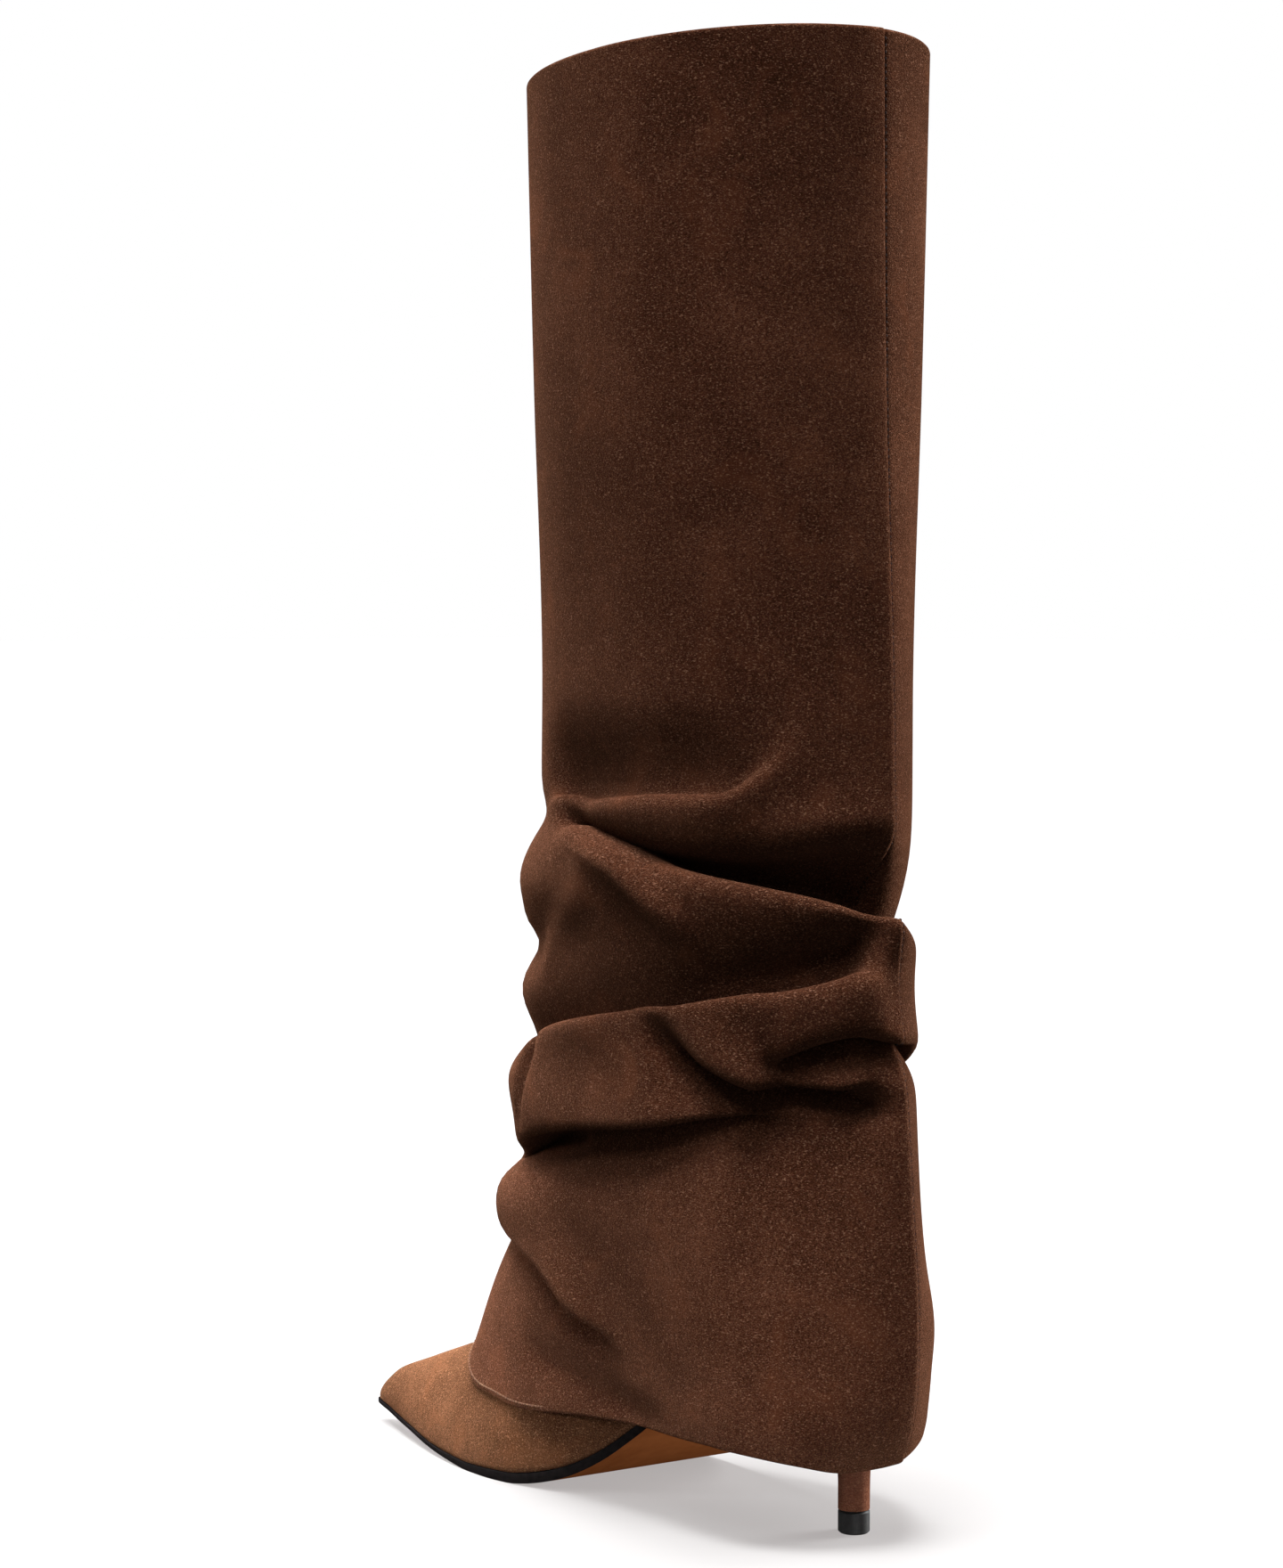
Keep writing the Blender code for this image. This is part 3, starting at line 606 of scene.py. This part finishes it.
def shaft_point(angle, up):
    """Middle of the shaft's wall, with its folds, at an angle and a height on the plain leg."""
    forward, medial = shaft_plan(angle, up)
    normal = outward_of(angle, up)
    out, lift = fold_shift(angle, up)
    return np.stack([forward + out * normal[..., 0], medial + out * normal[..., 1], up + lift], -1)


def hem_height(angle):
    """Lowest level of the shaft at one angle: its hem, or the vamp if that is higher."""
    hanging = float(smooth(HEM_LINE, 1, angle))
    level = hanging
    for _ in range(REST_ROUNDS):
        forward, medial = shaft_plan(np.array(angle), np.array(level))
        level = max(hanging, vamp_rest(float(forward), float(medial)))
    return level


def hem_levels(angles):
    """Heights of the hem all round, as one soft curve."""
    levels = np.array([hem_height(angle) for angle in angles])
    for _ in range(HEM_SOFTENING):
        levels = 0.25 * np.roll(levels, 1) + 0.5 * levels + 0.25 * np.roll(levels, -1)
    return levels


def collar_height(angle):
    return COLLAR_HEIGHT - COLLAR_FRONT_DROP * 0.5 * (1.0 - np.cos(np.radians(angle)))


def belt_height(belt, angle):
    """Height of a line round the leg that follows one belt's creases and runs straight between them."""
    ends_before = []
    starts_after = []
    for number, span, heights, fades, *_ in CREASES:
        if number != belt:
            continue
        start, end = span
        if (angle - start) % 360.0 <= end - start:
            return float(fold_line(span, heights, fades, angle)[0])
        ends_before.append(((angle - end) % 360.0, heights[-1]))
        starts_after.append(((start - angle) % 360.0, heights[0]))
    since, height_before = min(ends_before)
    until, height_after = min(starts_after)
    return height_before + (height_after - height_before) * since / (since + until)


def shaft_levels(angle, hem):
    """Heights of one column's points down to the hem, close together at the belts of creases."""
    belts = [belt_height(belt, angle) for belt in range(len(BELT_ROWS) - 1)]
    ledge, valley, upper_roll, pocket, under_pocket, lower_roll, skirt = belts
    under_pocket = np.clip(under_pocket, lower_roll + BELT_SPACE, upper_roll - 2.0 * BELT_SPACE)
    pocket = np.clip(pocket, under_pocket + BELT_SPACE, upper_roll - BELT_SPACE)
    guides = [collar_height(angle), ledge, valley, upper_roll, pocket, under_pocket, lower_roll, skirt, hem]
    levels = [guides[0]]
    for upper, lower, rows in zip(guides, guides[1:], BELT_ROWS):
        share = 0.5 - 0.5 * np.cos(np.pi * np.arange(1, rows + 1) / rows)
        levels.extend(upper + (lower - upper) * share)
    return np.array(levels)


def grid_normals(grid):
    """Outward normals of a grid of points whose first axis runs round the leg and second one down."""
    around = np.roll(grid, -1, axis=0) - np.roll(grid, 1, axis=0)
    down = np.gradient(grid, axis=1)
    return unit(np.cross(around, down))


# Meshes

def placed(points):
    """Points in the boot's own axes as metres in the frame: the toe looks along -Y, medial is +X."""
    points = np.asarray(points, float)
    return np.stack([points[..., 1] * MM + HEEL_TIP[0],
                     -points[..., 0] * MM + HEEL_TIP[1],
                     points[..., 2] * MM + HEEL_TIP[2]], -1)


def add_object(name, data):
    added = bpy.data.objects.new(name, data)
    bpy.context.collection.objects.link(added)
    return added


def mesh_piece(name, points, faces, materials, slots=None, node=None):
    """A smooth mesh piece that rides on the boot's one body."""
    mesh = bpy.data.meshes.new(name)
    mesh.from_pydata(placed(points).tolist(), [], faces)
    for material in materials:
        mesh.materials.append(material)
    if slots is not None:
        mesh.polygons.foreach_set("material_index", slots)
    mesh.polygons.foreach_set("use_smooth", [True] * len(mesh.polygons))
    mesh.update()
    piece = add_object(name, mesh)
    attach(piece, "root")
    if node:
        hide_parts(node)
    return piece


def grid_faces(columns, rows, round_columns, round_rows):
    """Quads over a grid of points numbered column by column."""
    faces = []
    for i in range(columns if round_columns else columns - 1):
        after = (i + 1) % columns
        for j in range(rows if round_rows else rows - 1):
            below = (j + 1) % rows
            faces.append((i * rows + j, after * rows + j, after * rows + below, i * rows + below))
    return faces


def tidy_mesh(piece, distance=WELD):
    """Weld points that fall together and turn the faces outward."""
    mesh_data = bmesh.new()
    mesh_data.from_mesh(piece.data)
    bmesh.ops.remove_doubles(mesh_data, verts=mesh_data.verts, dist=distance * MM)
    bmesh.ops.recalc_face_normals(mesh_data, faces=mesh_data.faces)
    mesh_data.to_mesh(piece.data)
    mesh_data.free()


def rim(middle, half, normal, down):
    """Rows of points that turn half round the edge of a wall."""
    turns = np.pi * np.arange(1, RIM_ROWS + 1) / (RIM_ROWS + 1)
    return np.stack([middle + half * (np.cos(turn) * normal + np.sin(turn) * down) for turn in turns], 1)


def shelled(outer, inner, down):
    """Columns that run down the outside, round the lower rim, up the inside and round the upper rim."""
    middle = 0.5 * (outer + inner)
    half = 0.5 * np.linalg.norm(outer - inner, axis=-1, keepdims=True)
    normal = unit(outer - inner)
    low_rim = rim(middle[:, -1], half[:, -1], normal[:, -1], down[:, -1])
    top_rim = rim(middle[:, 0], -half[:, 0], normal[:, 0], down[:, 0])
    return np.concatenate([outer, low_rim, inner[:, ::-1], top_rim], axis=1)


def make_shaft(suede, lining):
    """The hollow leg, suede outside and lining inside. Returns its columns' angles and its outer face."""
    angles = list(np.linspace(-180.0, 180.0, SHAFT_COLUMNS, endpoint=False))
    angles = [angle for angle in angles if abs(angle - SEAM_ANGLE) > SEAM_SPAN]
    angles = sorted(angles + [SEAM_ANGLE + column for column in SEAM_COLUMNS])
    grid = []
    for angle, hem in zip(angles, hem_levels(angles)):
        up = shaft_levels(angle, hem)
        grid.append(shaft_point(np.full_like(up, angle), up))
    middle = np.array(grid)
    normal = grid_normals(middle)
    outer = middle + 0.5 * SHAFT_WALL * normal
    inner = middle - 0.5 * SHAFT_WALL * normal
    shell = shelled(outer, inner, unit(np.gradient(middle, axis=1)))
    columns, rows = shell.shape[:2]
    inside_from = outer.shape[1] + RIM_ROWS
    inside_to = rows - RIM_ROWS - 1
    row_slots = [1 if inside_from <= row < inside_to else 0 for row in range(rows)]
    piece = mesh_piece("shaft_skin", shell.reshape(-1, 3), grid_faces(columns, rows, True, True),
                       [suede, lining], row_slots * columns, "shaft")
    tidy_mesh(piece)
    return np.array(angles), outer, normal


def outline_ring(count):
    """Turn and side of every rib in order: toe, medial side, heel, lateral side."""
    turns = np.linspace(0.0, np.pi, count)
    ring = [(turn, 1.0) for turn in turns]
    ring += [(turn, -1.0) for turn in turns[-2:0:-1]]
    return ring


def make_upper(suede, lining):
    ribs = np.array([last_rib(turn, side)[::-1] for turn, side in outline_ring(LAST_STATIONS)])
    columns, rows = ribs.shape[:2]
    piece = mesh_piece("vamp_skin", ribs.reshape(-1, 3), grid_faces(columns, rows, True, False),
                       [suede, lining], None, "upper")
    tidy_mesh(piece)
    wall = piece.modifiers.new("wall", "SOLIDIFY")
    wall.thickness = UPPER_WALL * MM
    wall.offset = -1.0
    wall.material_offset = 1


def make_sheet(name, inset, under, over, materials, node):
    """A sheet cut to the last's outline and bent to lie between two heights: first material below,
    second round the edge, third on top."""
    shares = np.linspace(0.0, 1.0, SOLE_STRIPS + 1)[:, None]
    rows = []
    for turn in np.linspace(0.0, np.pi, LAST_STATIONS):
        medial, _ = outline(turn, 1.0, inset)
        lateral, _ = outline(turn, -1.0, inset)
        rows.append(medial * (1.0 - shares) + lateral * shares)
    plan = np.array(rows)
    bottom = np.concatenate([plan, under(plan[..., 0], plan[..., 1])[..., None]], -1)
    top = np.concatenate([plan, over(plan[..., 0], plan[..., 1])[..., None]], -1)
    loop = np.concatenate([bottom, top[:, ::-1]], axis=1)
    columns, count = loop.shape[:2]
    faces = grid_faces(columns, count, False, True)
    strip_slots = [0] * SOLE_STRIPS + [1] + [2] * SOLE_STRIPS + [1]
    slots = strip_slots * (columns - 1)
    piece = mesh_piece(name, loop.reshape(-1, 3), faces, materials, slots, node)
    tidy_mesh(piece)
    bevel = piece.modifiers.new("edge", "BEVEL")
    bevel.width = SOLE_ROUNDING * MM
    bevel.segments = SOLE_ROUNDING_STEPS
    bevel.limit_method = "ANGLE"
    bevel.angle_limit = math.radians(SOLE_EDGE_ANGLE)


def heel_ring(share, scale=1.0):
    """Points round the heel at a share of the way from its seat to its tip."""
    back, front, half = [smooth(HEEL_SECTIONS, column, share) for column in HEEL_COLUMNS]
    seat_back, seat_front, seat_half = HEEL_SECTIONS[0][1:]
    turn = np.linspace(0.0, 2.0 * np.pi, HEEL_POINTS, endpoint=False)
    across = scale * np.sin(turn)
    along = scale * np.cos(turn)
    forward = 0.5 * (front + back) + 0.5 * (front - back) * along
    seat = 0.5 * (seat_front + seat_back) + 0.5 * (seat_front - seat_back) * along
    top = sole_bottom(seat, seat_half * across) - JOIN_GAP
    up = top * (1.0 - share) + (TIP_HEIGHT + JOIN_GAP) * share
    return np.stack([forward, half * across, up], -1)


def ringed_piece(name, rings, material, node):
    """A closed piece from rings of points, with each end closed by one flat face."""
    rings = np.array(rings)
    count, points = rings.shape[:2]
    faces = grid_faces(count, points, False, True)
    faces.append(tuple(range(points)))
    faces.append(tuple(range((count - 1) * points, count * points)))
    piece = mesh_piece(name, rings.reshape(-1, 3), faces, [material], None, node)
    tidy_mesh(piece)
    piece.data.set_sharp_from_angle(angle=math.radians(HEEL_SHARP_ANGLE))


def make_heel(suede):
    rings = [heel_ring(0.0, scale) for scale in SEAT_SCALES]
    rings += [heel_ring(share) for share in np.linspace(0.0, 1.0, HEEL_RINGS) ** HEEL_RING_GATHER]
    ringed_piece("heel_wrap", rings, suede, "heel")


def make_heel_tip(rubber):
    profile = [(TIP_RADIUS - TIP_EDGE, TIP_HEIGHT), (TIP_RADIUS, TIP_HEIGHT - TIP_EDGE)]
    profile += [(TIP_RADIUS, 0.5 * TIP_HEIGHT), (TIP_RADIUS, TIP_EDGE), (TIP_RADIUS - TIP_EDGE, 0.0)]
    turn = np.linspace(0.0, 2.0 * np.pi, HEEL_POINTS, endpoint=False)
    rings = [np.stack([r * np.cos(turn), r * np.sin(turn), np.full_like(turn, up)], -1) for r, up in profile]
    ringed_piece("tip_cap", rings, rubber, "heel_tip")


def stitch_run(name, line, normals, space, long, radius, material):
    """A row of stitches laid along a line of points on a surface."""
    lengths = lengths_along(line)
    points = []
    faces = []
    turns = np.linspace(0.0, 2.0 * np.pi, STITCH_SIDES, endpoint=False)
    for start in np.arange(space, lengths[-1] - space, space):
        first = len(points)
        for place, fat, rise in STITCH_RINGS:
            at = start + place * long
            normal = unit(read_along(normals, lengths, at))
            ahead = read_along(line, lengths, at + STITCH_AIM)
            back = read_along(line, lengths, at - STITCH_AIM)
            across = unit(np.cross(normal, ahead - back))
            centre = read_along(line, lengths, at) + rise * radius * normal
            for turn in turns:
                spoke = np.cos(turn) * across + np.sin(turn) * normal
                points.append(centre + fat * radius * spoke)
        for i in range(len(STITCH_RINGS) - 1):
            for j in range(STITCH_SIDES):
                after = (j + 1) % STITCH_SIDES
                low = first + i * STITCH_SIDES
                faces.append((low + j, low + after, low + STITCH_SIDES + after, low + STITCH_SIDES + j))
        faces.append(tuple(range(first, first + STITCH_SIDES)))
        faces.append(tuple(range(len(points) - STITCH_SIDES, len(points))))
    piece = mesh_piece(name, points, faces, [material], None, None)
    tidy_mesh(piece, STITCH_WELD)


def make_back_stitches(angles, outer, normal, thread):
    """Stitches down the groove beside the lapped back seam."""
    column = int(np.argmin(np.abs(angles - SEAM_ANGLE - SEAM_GROOVE_ANGLE)))
    stitch_run("back_seam_stitches", outer[column], normal[column],
               SEAM_STITCH_SPACE, SEAM_STITCH_LENGTH, SEAM_STITCH_RADIUS, thread)


def make_vamp_stitches(angles, outer, normal, thread):
    """Stitches just above the shaft's edge where it is sewn down on the vamp."""
    medial_columns = np.flatnonzero(angles > VAMP_STITCH_ANGLE)
    lateral_columns = np.flatnonzero(angles < -VAMP_STITCH_ANGLE)
    line = []
    normals = []
    for column in np.concatenate([medial_columns, lateral_columns]):
        upward = outer[column, ::-1]
        lengths = lengths_along(upward)
        line.append(read_along(upward, lengths, VAMP_STITCH_INSET))
        normals.append(read_along(normal[column, ::-1], lengths, VAMP_STITCH_INSET))
    stitch_run("vamp_stitches", np.array(line), np.array(normals),
               VAMP_STITCH_SPACE, VAMP_STITCH_LENGTH, VAMP_STITCH_RADIUS, thread)


# Materials

def set_inputs(tree, node, inputs):
    """Link each socket among the inputs, and set each plain value on the node itself."""
    for key, value in inputs.items():
        if isinstance(value, bpy.types.NodeSocket):
            tree.links.new(value, node.inputs[key])
        else:
            node.inputs[key].default_value = value


def add_node(tree, kind, inputs, **settings):
    node = tree.nodes.new(kind)
    for key, value in settings.items():
        setattr(node, key, value)
    set_inputs(tree, node, inputs)
    return node


def noise(tree, place, scale, detail=3.0, roughness=0.55, distortion=0.0):
    inputs = {"Vector": place, "Scale": scale, "Detail": detail,
              "Roughness": roughness, "Distortion": distortion}
    return add_node(tree, "ShaderNodeTexNoise", inputs).outputs["Fac"]


def blend_values(tree, first, second, share):
    inputs = {MIX_SHARE: share, MIX_VALUES[0]: first, MIX_VALUES[1]: second}
    return add_node(tree, "ShaderNodeMix", inputs, data_type="FLOAT").outputs[MIXED_VALUE]


def blend_colours(tree, first, second, share):
    inputs = {MIX_SHARE: share, MIX_COLOURS[0]: first, MIX_COLOURS[1]: second}
    return add_node(tree, "ShaderNodeMix", inputs, data_type="RGBA").outputs[MIXED_COLOUR]


def ramp(tree, value, places, colours):
    """Colours that follow a value through its places."""
    node = add_node(tree, "ShaderNodeValToRGB", {"Fac": value})
    elements = node.color_ramp.elements
    while len(elements) < len(places):
        elements.new(0.5)
    for element, at, colour in zip(elements, places, colours):
        element.position = at
        element.color = (*colour, 1.0)
    return node.outputs["Color"]


def mask(tree, value, span, most):
    """A share that rises from none to the most over a span of the value."""
    return ramp(tree, value, span, ((0.0, 0.0, 0.0), (most, most, most)))


def new_material(name, roughness):
    material = bpy.data.materials.new(name)
    material.use_nodes = True
    tree = material.node_tree
    shader = tree.nodes["Principled BSDF"]
    set_inputs(tree, shader, {"Roughness": roughness})
    place = tree.nodes.new("ShaderNodeTexCoord").outputs["Object"]
    return material, tree, shader, place


def bump(tree, height, strength, distance):
    inputs = {"Height": height, "Strength": strength, "Distance": distance * MM}
    return add_node(tree, "ShaderNodeBump", inputs).outputs["Normal"]


def make_suede(name):
    """Suede: brushed patches, a fine nap of short fibres with light tips that are partly painted highlights
    on the nap's bumps, and a soft sheen.
    """
    dark, middle, light, fibre_tips_and_highlights, fibre_share = SUEDES[name]
    material, tree, shader, place = new_material(name, roughness=0.95)
    stretched = add_node(tree, "ShaderNodeVectorMath", {0: place, 1: NAP_STRETCH}, operation="MULTIPLY")
    along = stretched.outputs[0]
    brushed = noise(tree, place, scale=14.0, detail=3.0, roughness=0.5, distortion=0.6)
    clouds = noise(tree, place, scale=60.0, detail=4.0, roughness=0.6)
    nap = noise(tree, along, scale=1900.0, detail=2.0, roughness=0.65)
    tufts = noise(tree, place, scale=900.0, detail=2.0, roughness=0.6)
    tone = blend_values(tree, brushed, clouds, share=0.4)
    fibre = blend_values(tree, nap, tufts, share=0.25)
    tone = blend_values(tree, tone, fibre, fibre_share)
    colour = ramp(tree, tone, TONE_PLACES, (dark, middle, light))
    warm = [share * part for share, part in zip(RUBBED_WARMTH, light)]
    patches = noise(tree, place, scale=45.0, detail=3.0, roughness=0.6, distortion=0.8)
    colour = blend_colours(tree, colour, (*warm, 1.0), mask(tree, patches, RUBBED_SPAN, RUBBED_MOST))
    # light flecks: fibre tips, partly painted highlights on the nap's bumps
    tips_and_highlights_noise = noise(tree, along, scale=1250.0, detail=1.0, roughness=0.5)
    colour = blend_colours(tree, colour, (*fibre_tips_and_highlights, 1.0), mask(tree, tips_and_highlights_noise, TIPS_AND_HIGHLIGHTS_SPAN, TIPS_AND_HIGHLIGHTS_MOST))
    set_inputs(tree, shader, {
        "Base Color": colour,
        "Specular IOR Level": 0.0,
        "Sheen Weight": SHEEN_WEIGHT,
        "Sheen Roughness": SHEEN_ROUGHNESS,
        "Sheen Tint": SHEEN_TINT,
        "Normal": bump(tree, fibre, strength=1.0, distance=NAP_DEPTH),
    })
    return material


def make_lining():
    material, tree, shader, place = new_material("lining_leather", roughness=0.85)
    grain = noise(tree, place, scale=420.0, detail=4.0, roughness=0.6)
    clouds = noise(tree, place, scale=24.0)
    tone = blend_values(tree, clouds, grain, share=0.35)
    set_inputs(tree, shader, {
        "Base Color": ramp(tree, tone, LEATHER_PLACES, LINING_TONES),
        "Normal": bump(tree, grain, strength=0.3, distance=0.3),
    })
    return material


def make_sole_leather():
    material, tree, shader, place = new_material("sole_leather", roughness=0.38)
    grain = noise(tree, place, scale=300.0, detail=4.0, roughness=0.6)
    clouds = noise(tree, place, scale=30.0, detail=4.0, roughness=0.6, distortion=0.5)
    tone = blend_values(tree, clouds, grain, share=0.3)
    set_inputs(tree, shader, {
        "Base Color": ramp(tree, tone, LEATHER_PLACES, SOLE_TONES),
        "Specular IOR Level": 0.0,
        "Normal": bump(tree, grain, strength=0.15, distance=0.2),
    })
    return material


def make_edge_ink():
    material, tree, shader, place = new_material("edge_ink", roughness=0.6)
    grain = noise(tree, place, scale=500.0)
    set_inputs(tree, shader, {
        "Base Color": ramp(tree, grain, BLACK_PLACES, INK_TONES),
        "Specular IOR Level": 0.0,
        "Normal": bump(tree, grain, strength=0.2, distance=0.15),
    })
    return material


def make_rubber():
    material, tree, shader, place = new_material("tip_rubber", roughness=0.55)
    grain = noise(tree, place, scale=800.0)
    set_inputs(tree, shader, {
        "Base Color": ramp(tree, grain, BLACK_PLACES, RUBBER_TONES),
        "Specular IOR Level": 0.2,
        "Normal": bump(tree, grain, strength=0.2, distance=0.15),
    })
    return material


def make_thread(name, tones):
    material, tree, shader, place = new_material(name, roughness=0.7)
    twist = noise(tree, place, scale=1500.0, detail=2.0)
    set_inputs(tree, shader, {
        "Base Color": ramp(tree, twist, LEATHER_PLACES, tones),
        "Specular IOR Level": 0.05,
    })
    return material


def make_floor_white():
    """A pale floor that glows a little, so that it runs into the white surround."""
    material, tree, shader, _ = new_material("floor_white", roughness=0.8)
    set_inputs(tree, shader, {
        "Base Color": FLOOR_TONE,
        "Specular IOR Level": 0.0,
        "Emission Color": FLOOR_GLOW,
        "Emission Strength": FLOOR_GLOW_STRENGTH,
    })
    return material


# Stage

def beside(left, away, up):
    """A place given from the boot's middle as the camera sees it, along a diagonal of the frame."""
    side = math.sqrt(0.5)
    return Vector((side * left - side * away, -side * left - side * away, up))


def make_camera():
    data = bpy.data.cameras.new("camera")
    data.sensor_width = SENSOR
    data.lens = LENS
    camera = add_object("camera", data)
    camera.location = placed([CAMERA_FORWARD, CAMERA_MEDIAL, CAMERA_UP])
    camera.rotation_euler = (math.radians(90.0 - CAMERA_PITCH), 0.0, math.radians(CAMERA_TURN))
    bpy.context.scene.camera = camera


def make_stage():
    corners = [(-FLOOR_HALF, -FLOOR_HALF, 0.0), (FLOOR_HALF, -FLOOR_HALF, 0.0),
               (FLOOR_HALF, FLOOR_HALF, 0.0), (-FLOOR_HALF, FLOOR_HALF, 0.0)]
    mesh = bpy.data.meshes.new("floor")
    mesh.from_pydata(corners, [], [(0, 1, 2, 3)])
    floor = add_object("floor", mesh)
    mesh.materials.append(make_floor_white())
    floor.visible_diffuse = False
    floor.visible_glossy = False


def make_world():
    """A white surround for the camera, with less light of its own for the boot."""
    world = bpy.data.worlds.new("studio")
    world.use_nodes = True
    tree = world.node_tree
    seen = tree.nodes["Background"]
    set_inputs(tree, seen, {"Color": WHITE, "Strength": BACKDROP_STRENGTH})
    fill = add_node(tree, "ShaderNodeBackground", {"Color": WHITE, "Strength": FILL_STRENGTH})
    rays = tree.nodes.new("ShaderNodeLightPath")
    inputs = {0: rays.outputs["Is Camera Ray"], 1: fill.outputs[0], 2: seen.outputs[0]}
    mix = add_node(tree, "ShaderNodeMixShader", inputs)
    set_inputs(tree, tree.nodes["World Output"], {"Surface": mix.outputs[0]})
    bpy.context.scene.world = world


def make_sun(name, place, strength, softness):
    data = bpy.data.lights.new(name, "SUN")
    data.energy = strength
    data.angle = math.radians(softness)
    light = add_object(name, data)
    light.rotation_euler = (-place).to_track_quat("-Z", "Y").to_euler()


def make_light(name, place, target, power, width, height, spread):
    data = bpy.data.lights.new(name, "AREA")
    data.spread = math.radians(spread)
    data.shape = "RECTANGLE"
    data.energy = power
    data.size = width
    data.size_y = height
    light = add_object(name, data)
    light.location = place
    light.rotation_euler = (target - place).to_track_quat("-Z", "Y").to_euler()


def make_lights():
    aims = {"boot": Vector(BOOT_MIDDLE), "heel": Vector(HEEL_SPOT), "toe": Vector(placed(TOE_SPOT))}
    make_sun("key", beside(*KEY_PLACE), KEY_STRENGTH, KEY_SOFTNESS)
    for name, aim, place, power, width, height, spread in AREA_LIGHTS:
        make_light(name, beside(*place), aims[aim], power, width, height, spread)


def main():
    bpy.context.scene.view_settings.view_transform = "Standard"
    shaft_suede = make_suede("shaft_suede")
    upper_suede = make_suede("upper_suede")
    heel_suede = make_suede("heel_suede")
    lining = make_lining()
    sole_leather = make_sole_leather()
    ink = make_edge_ink()
    dark_thread = make_thread("dark_thread", DARK_THREAD_TONES)
    tan_thread = make_thread("tan_thread", TAN_THREAD_TONES)
    angles, outer, normal = make_shaft(shaft_suede, lining)
    make_back_stitches(angles, outer, normal, dark_thread)
    make_vamp_stitches(angles, outer, normal, tan_thread)
    make_upper(upper_suede, lining)
    make_sheet("sole_leather", -SOLE_MARGIN, sole_bottom, sole_top, [sole_leather, ink, ink],
               "outsole")
    make_sheet("sock_lining", INSOLE_INSET, insole_bottom, insole_top, [lining, lining, lining],
               "insole")
    make_heel(heel_suede)
    make_heel_tip(make_rubber())
    make_camera()
    make_stage()
    make_world()
    make_lights()


main()
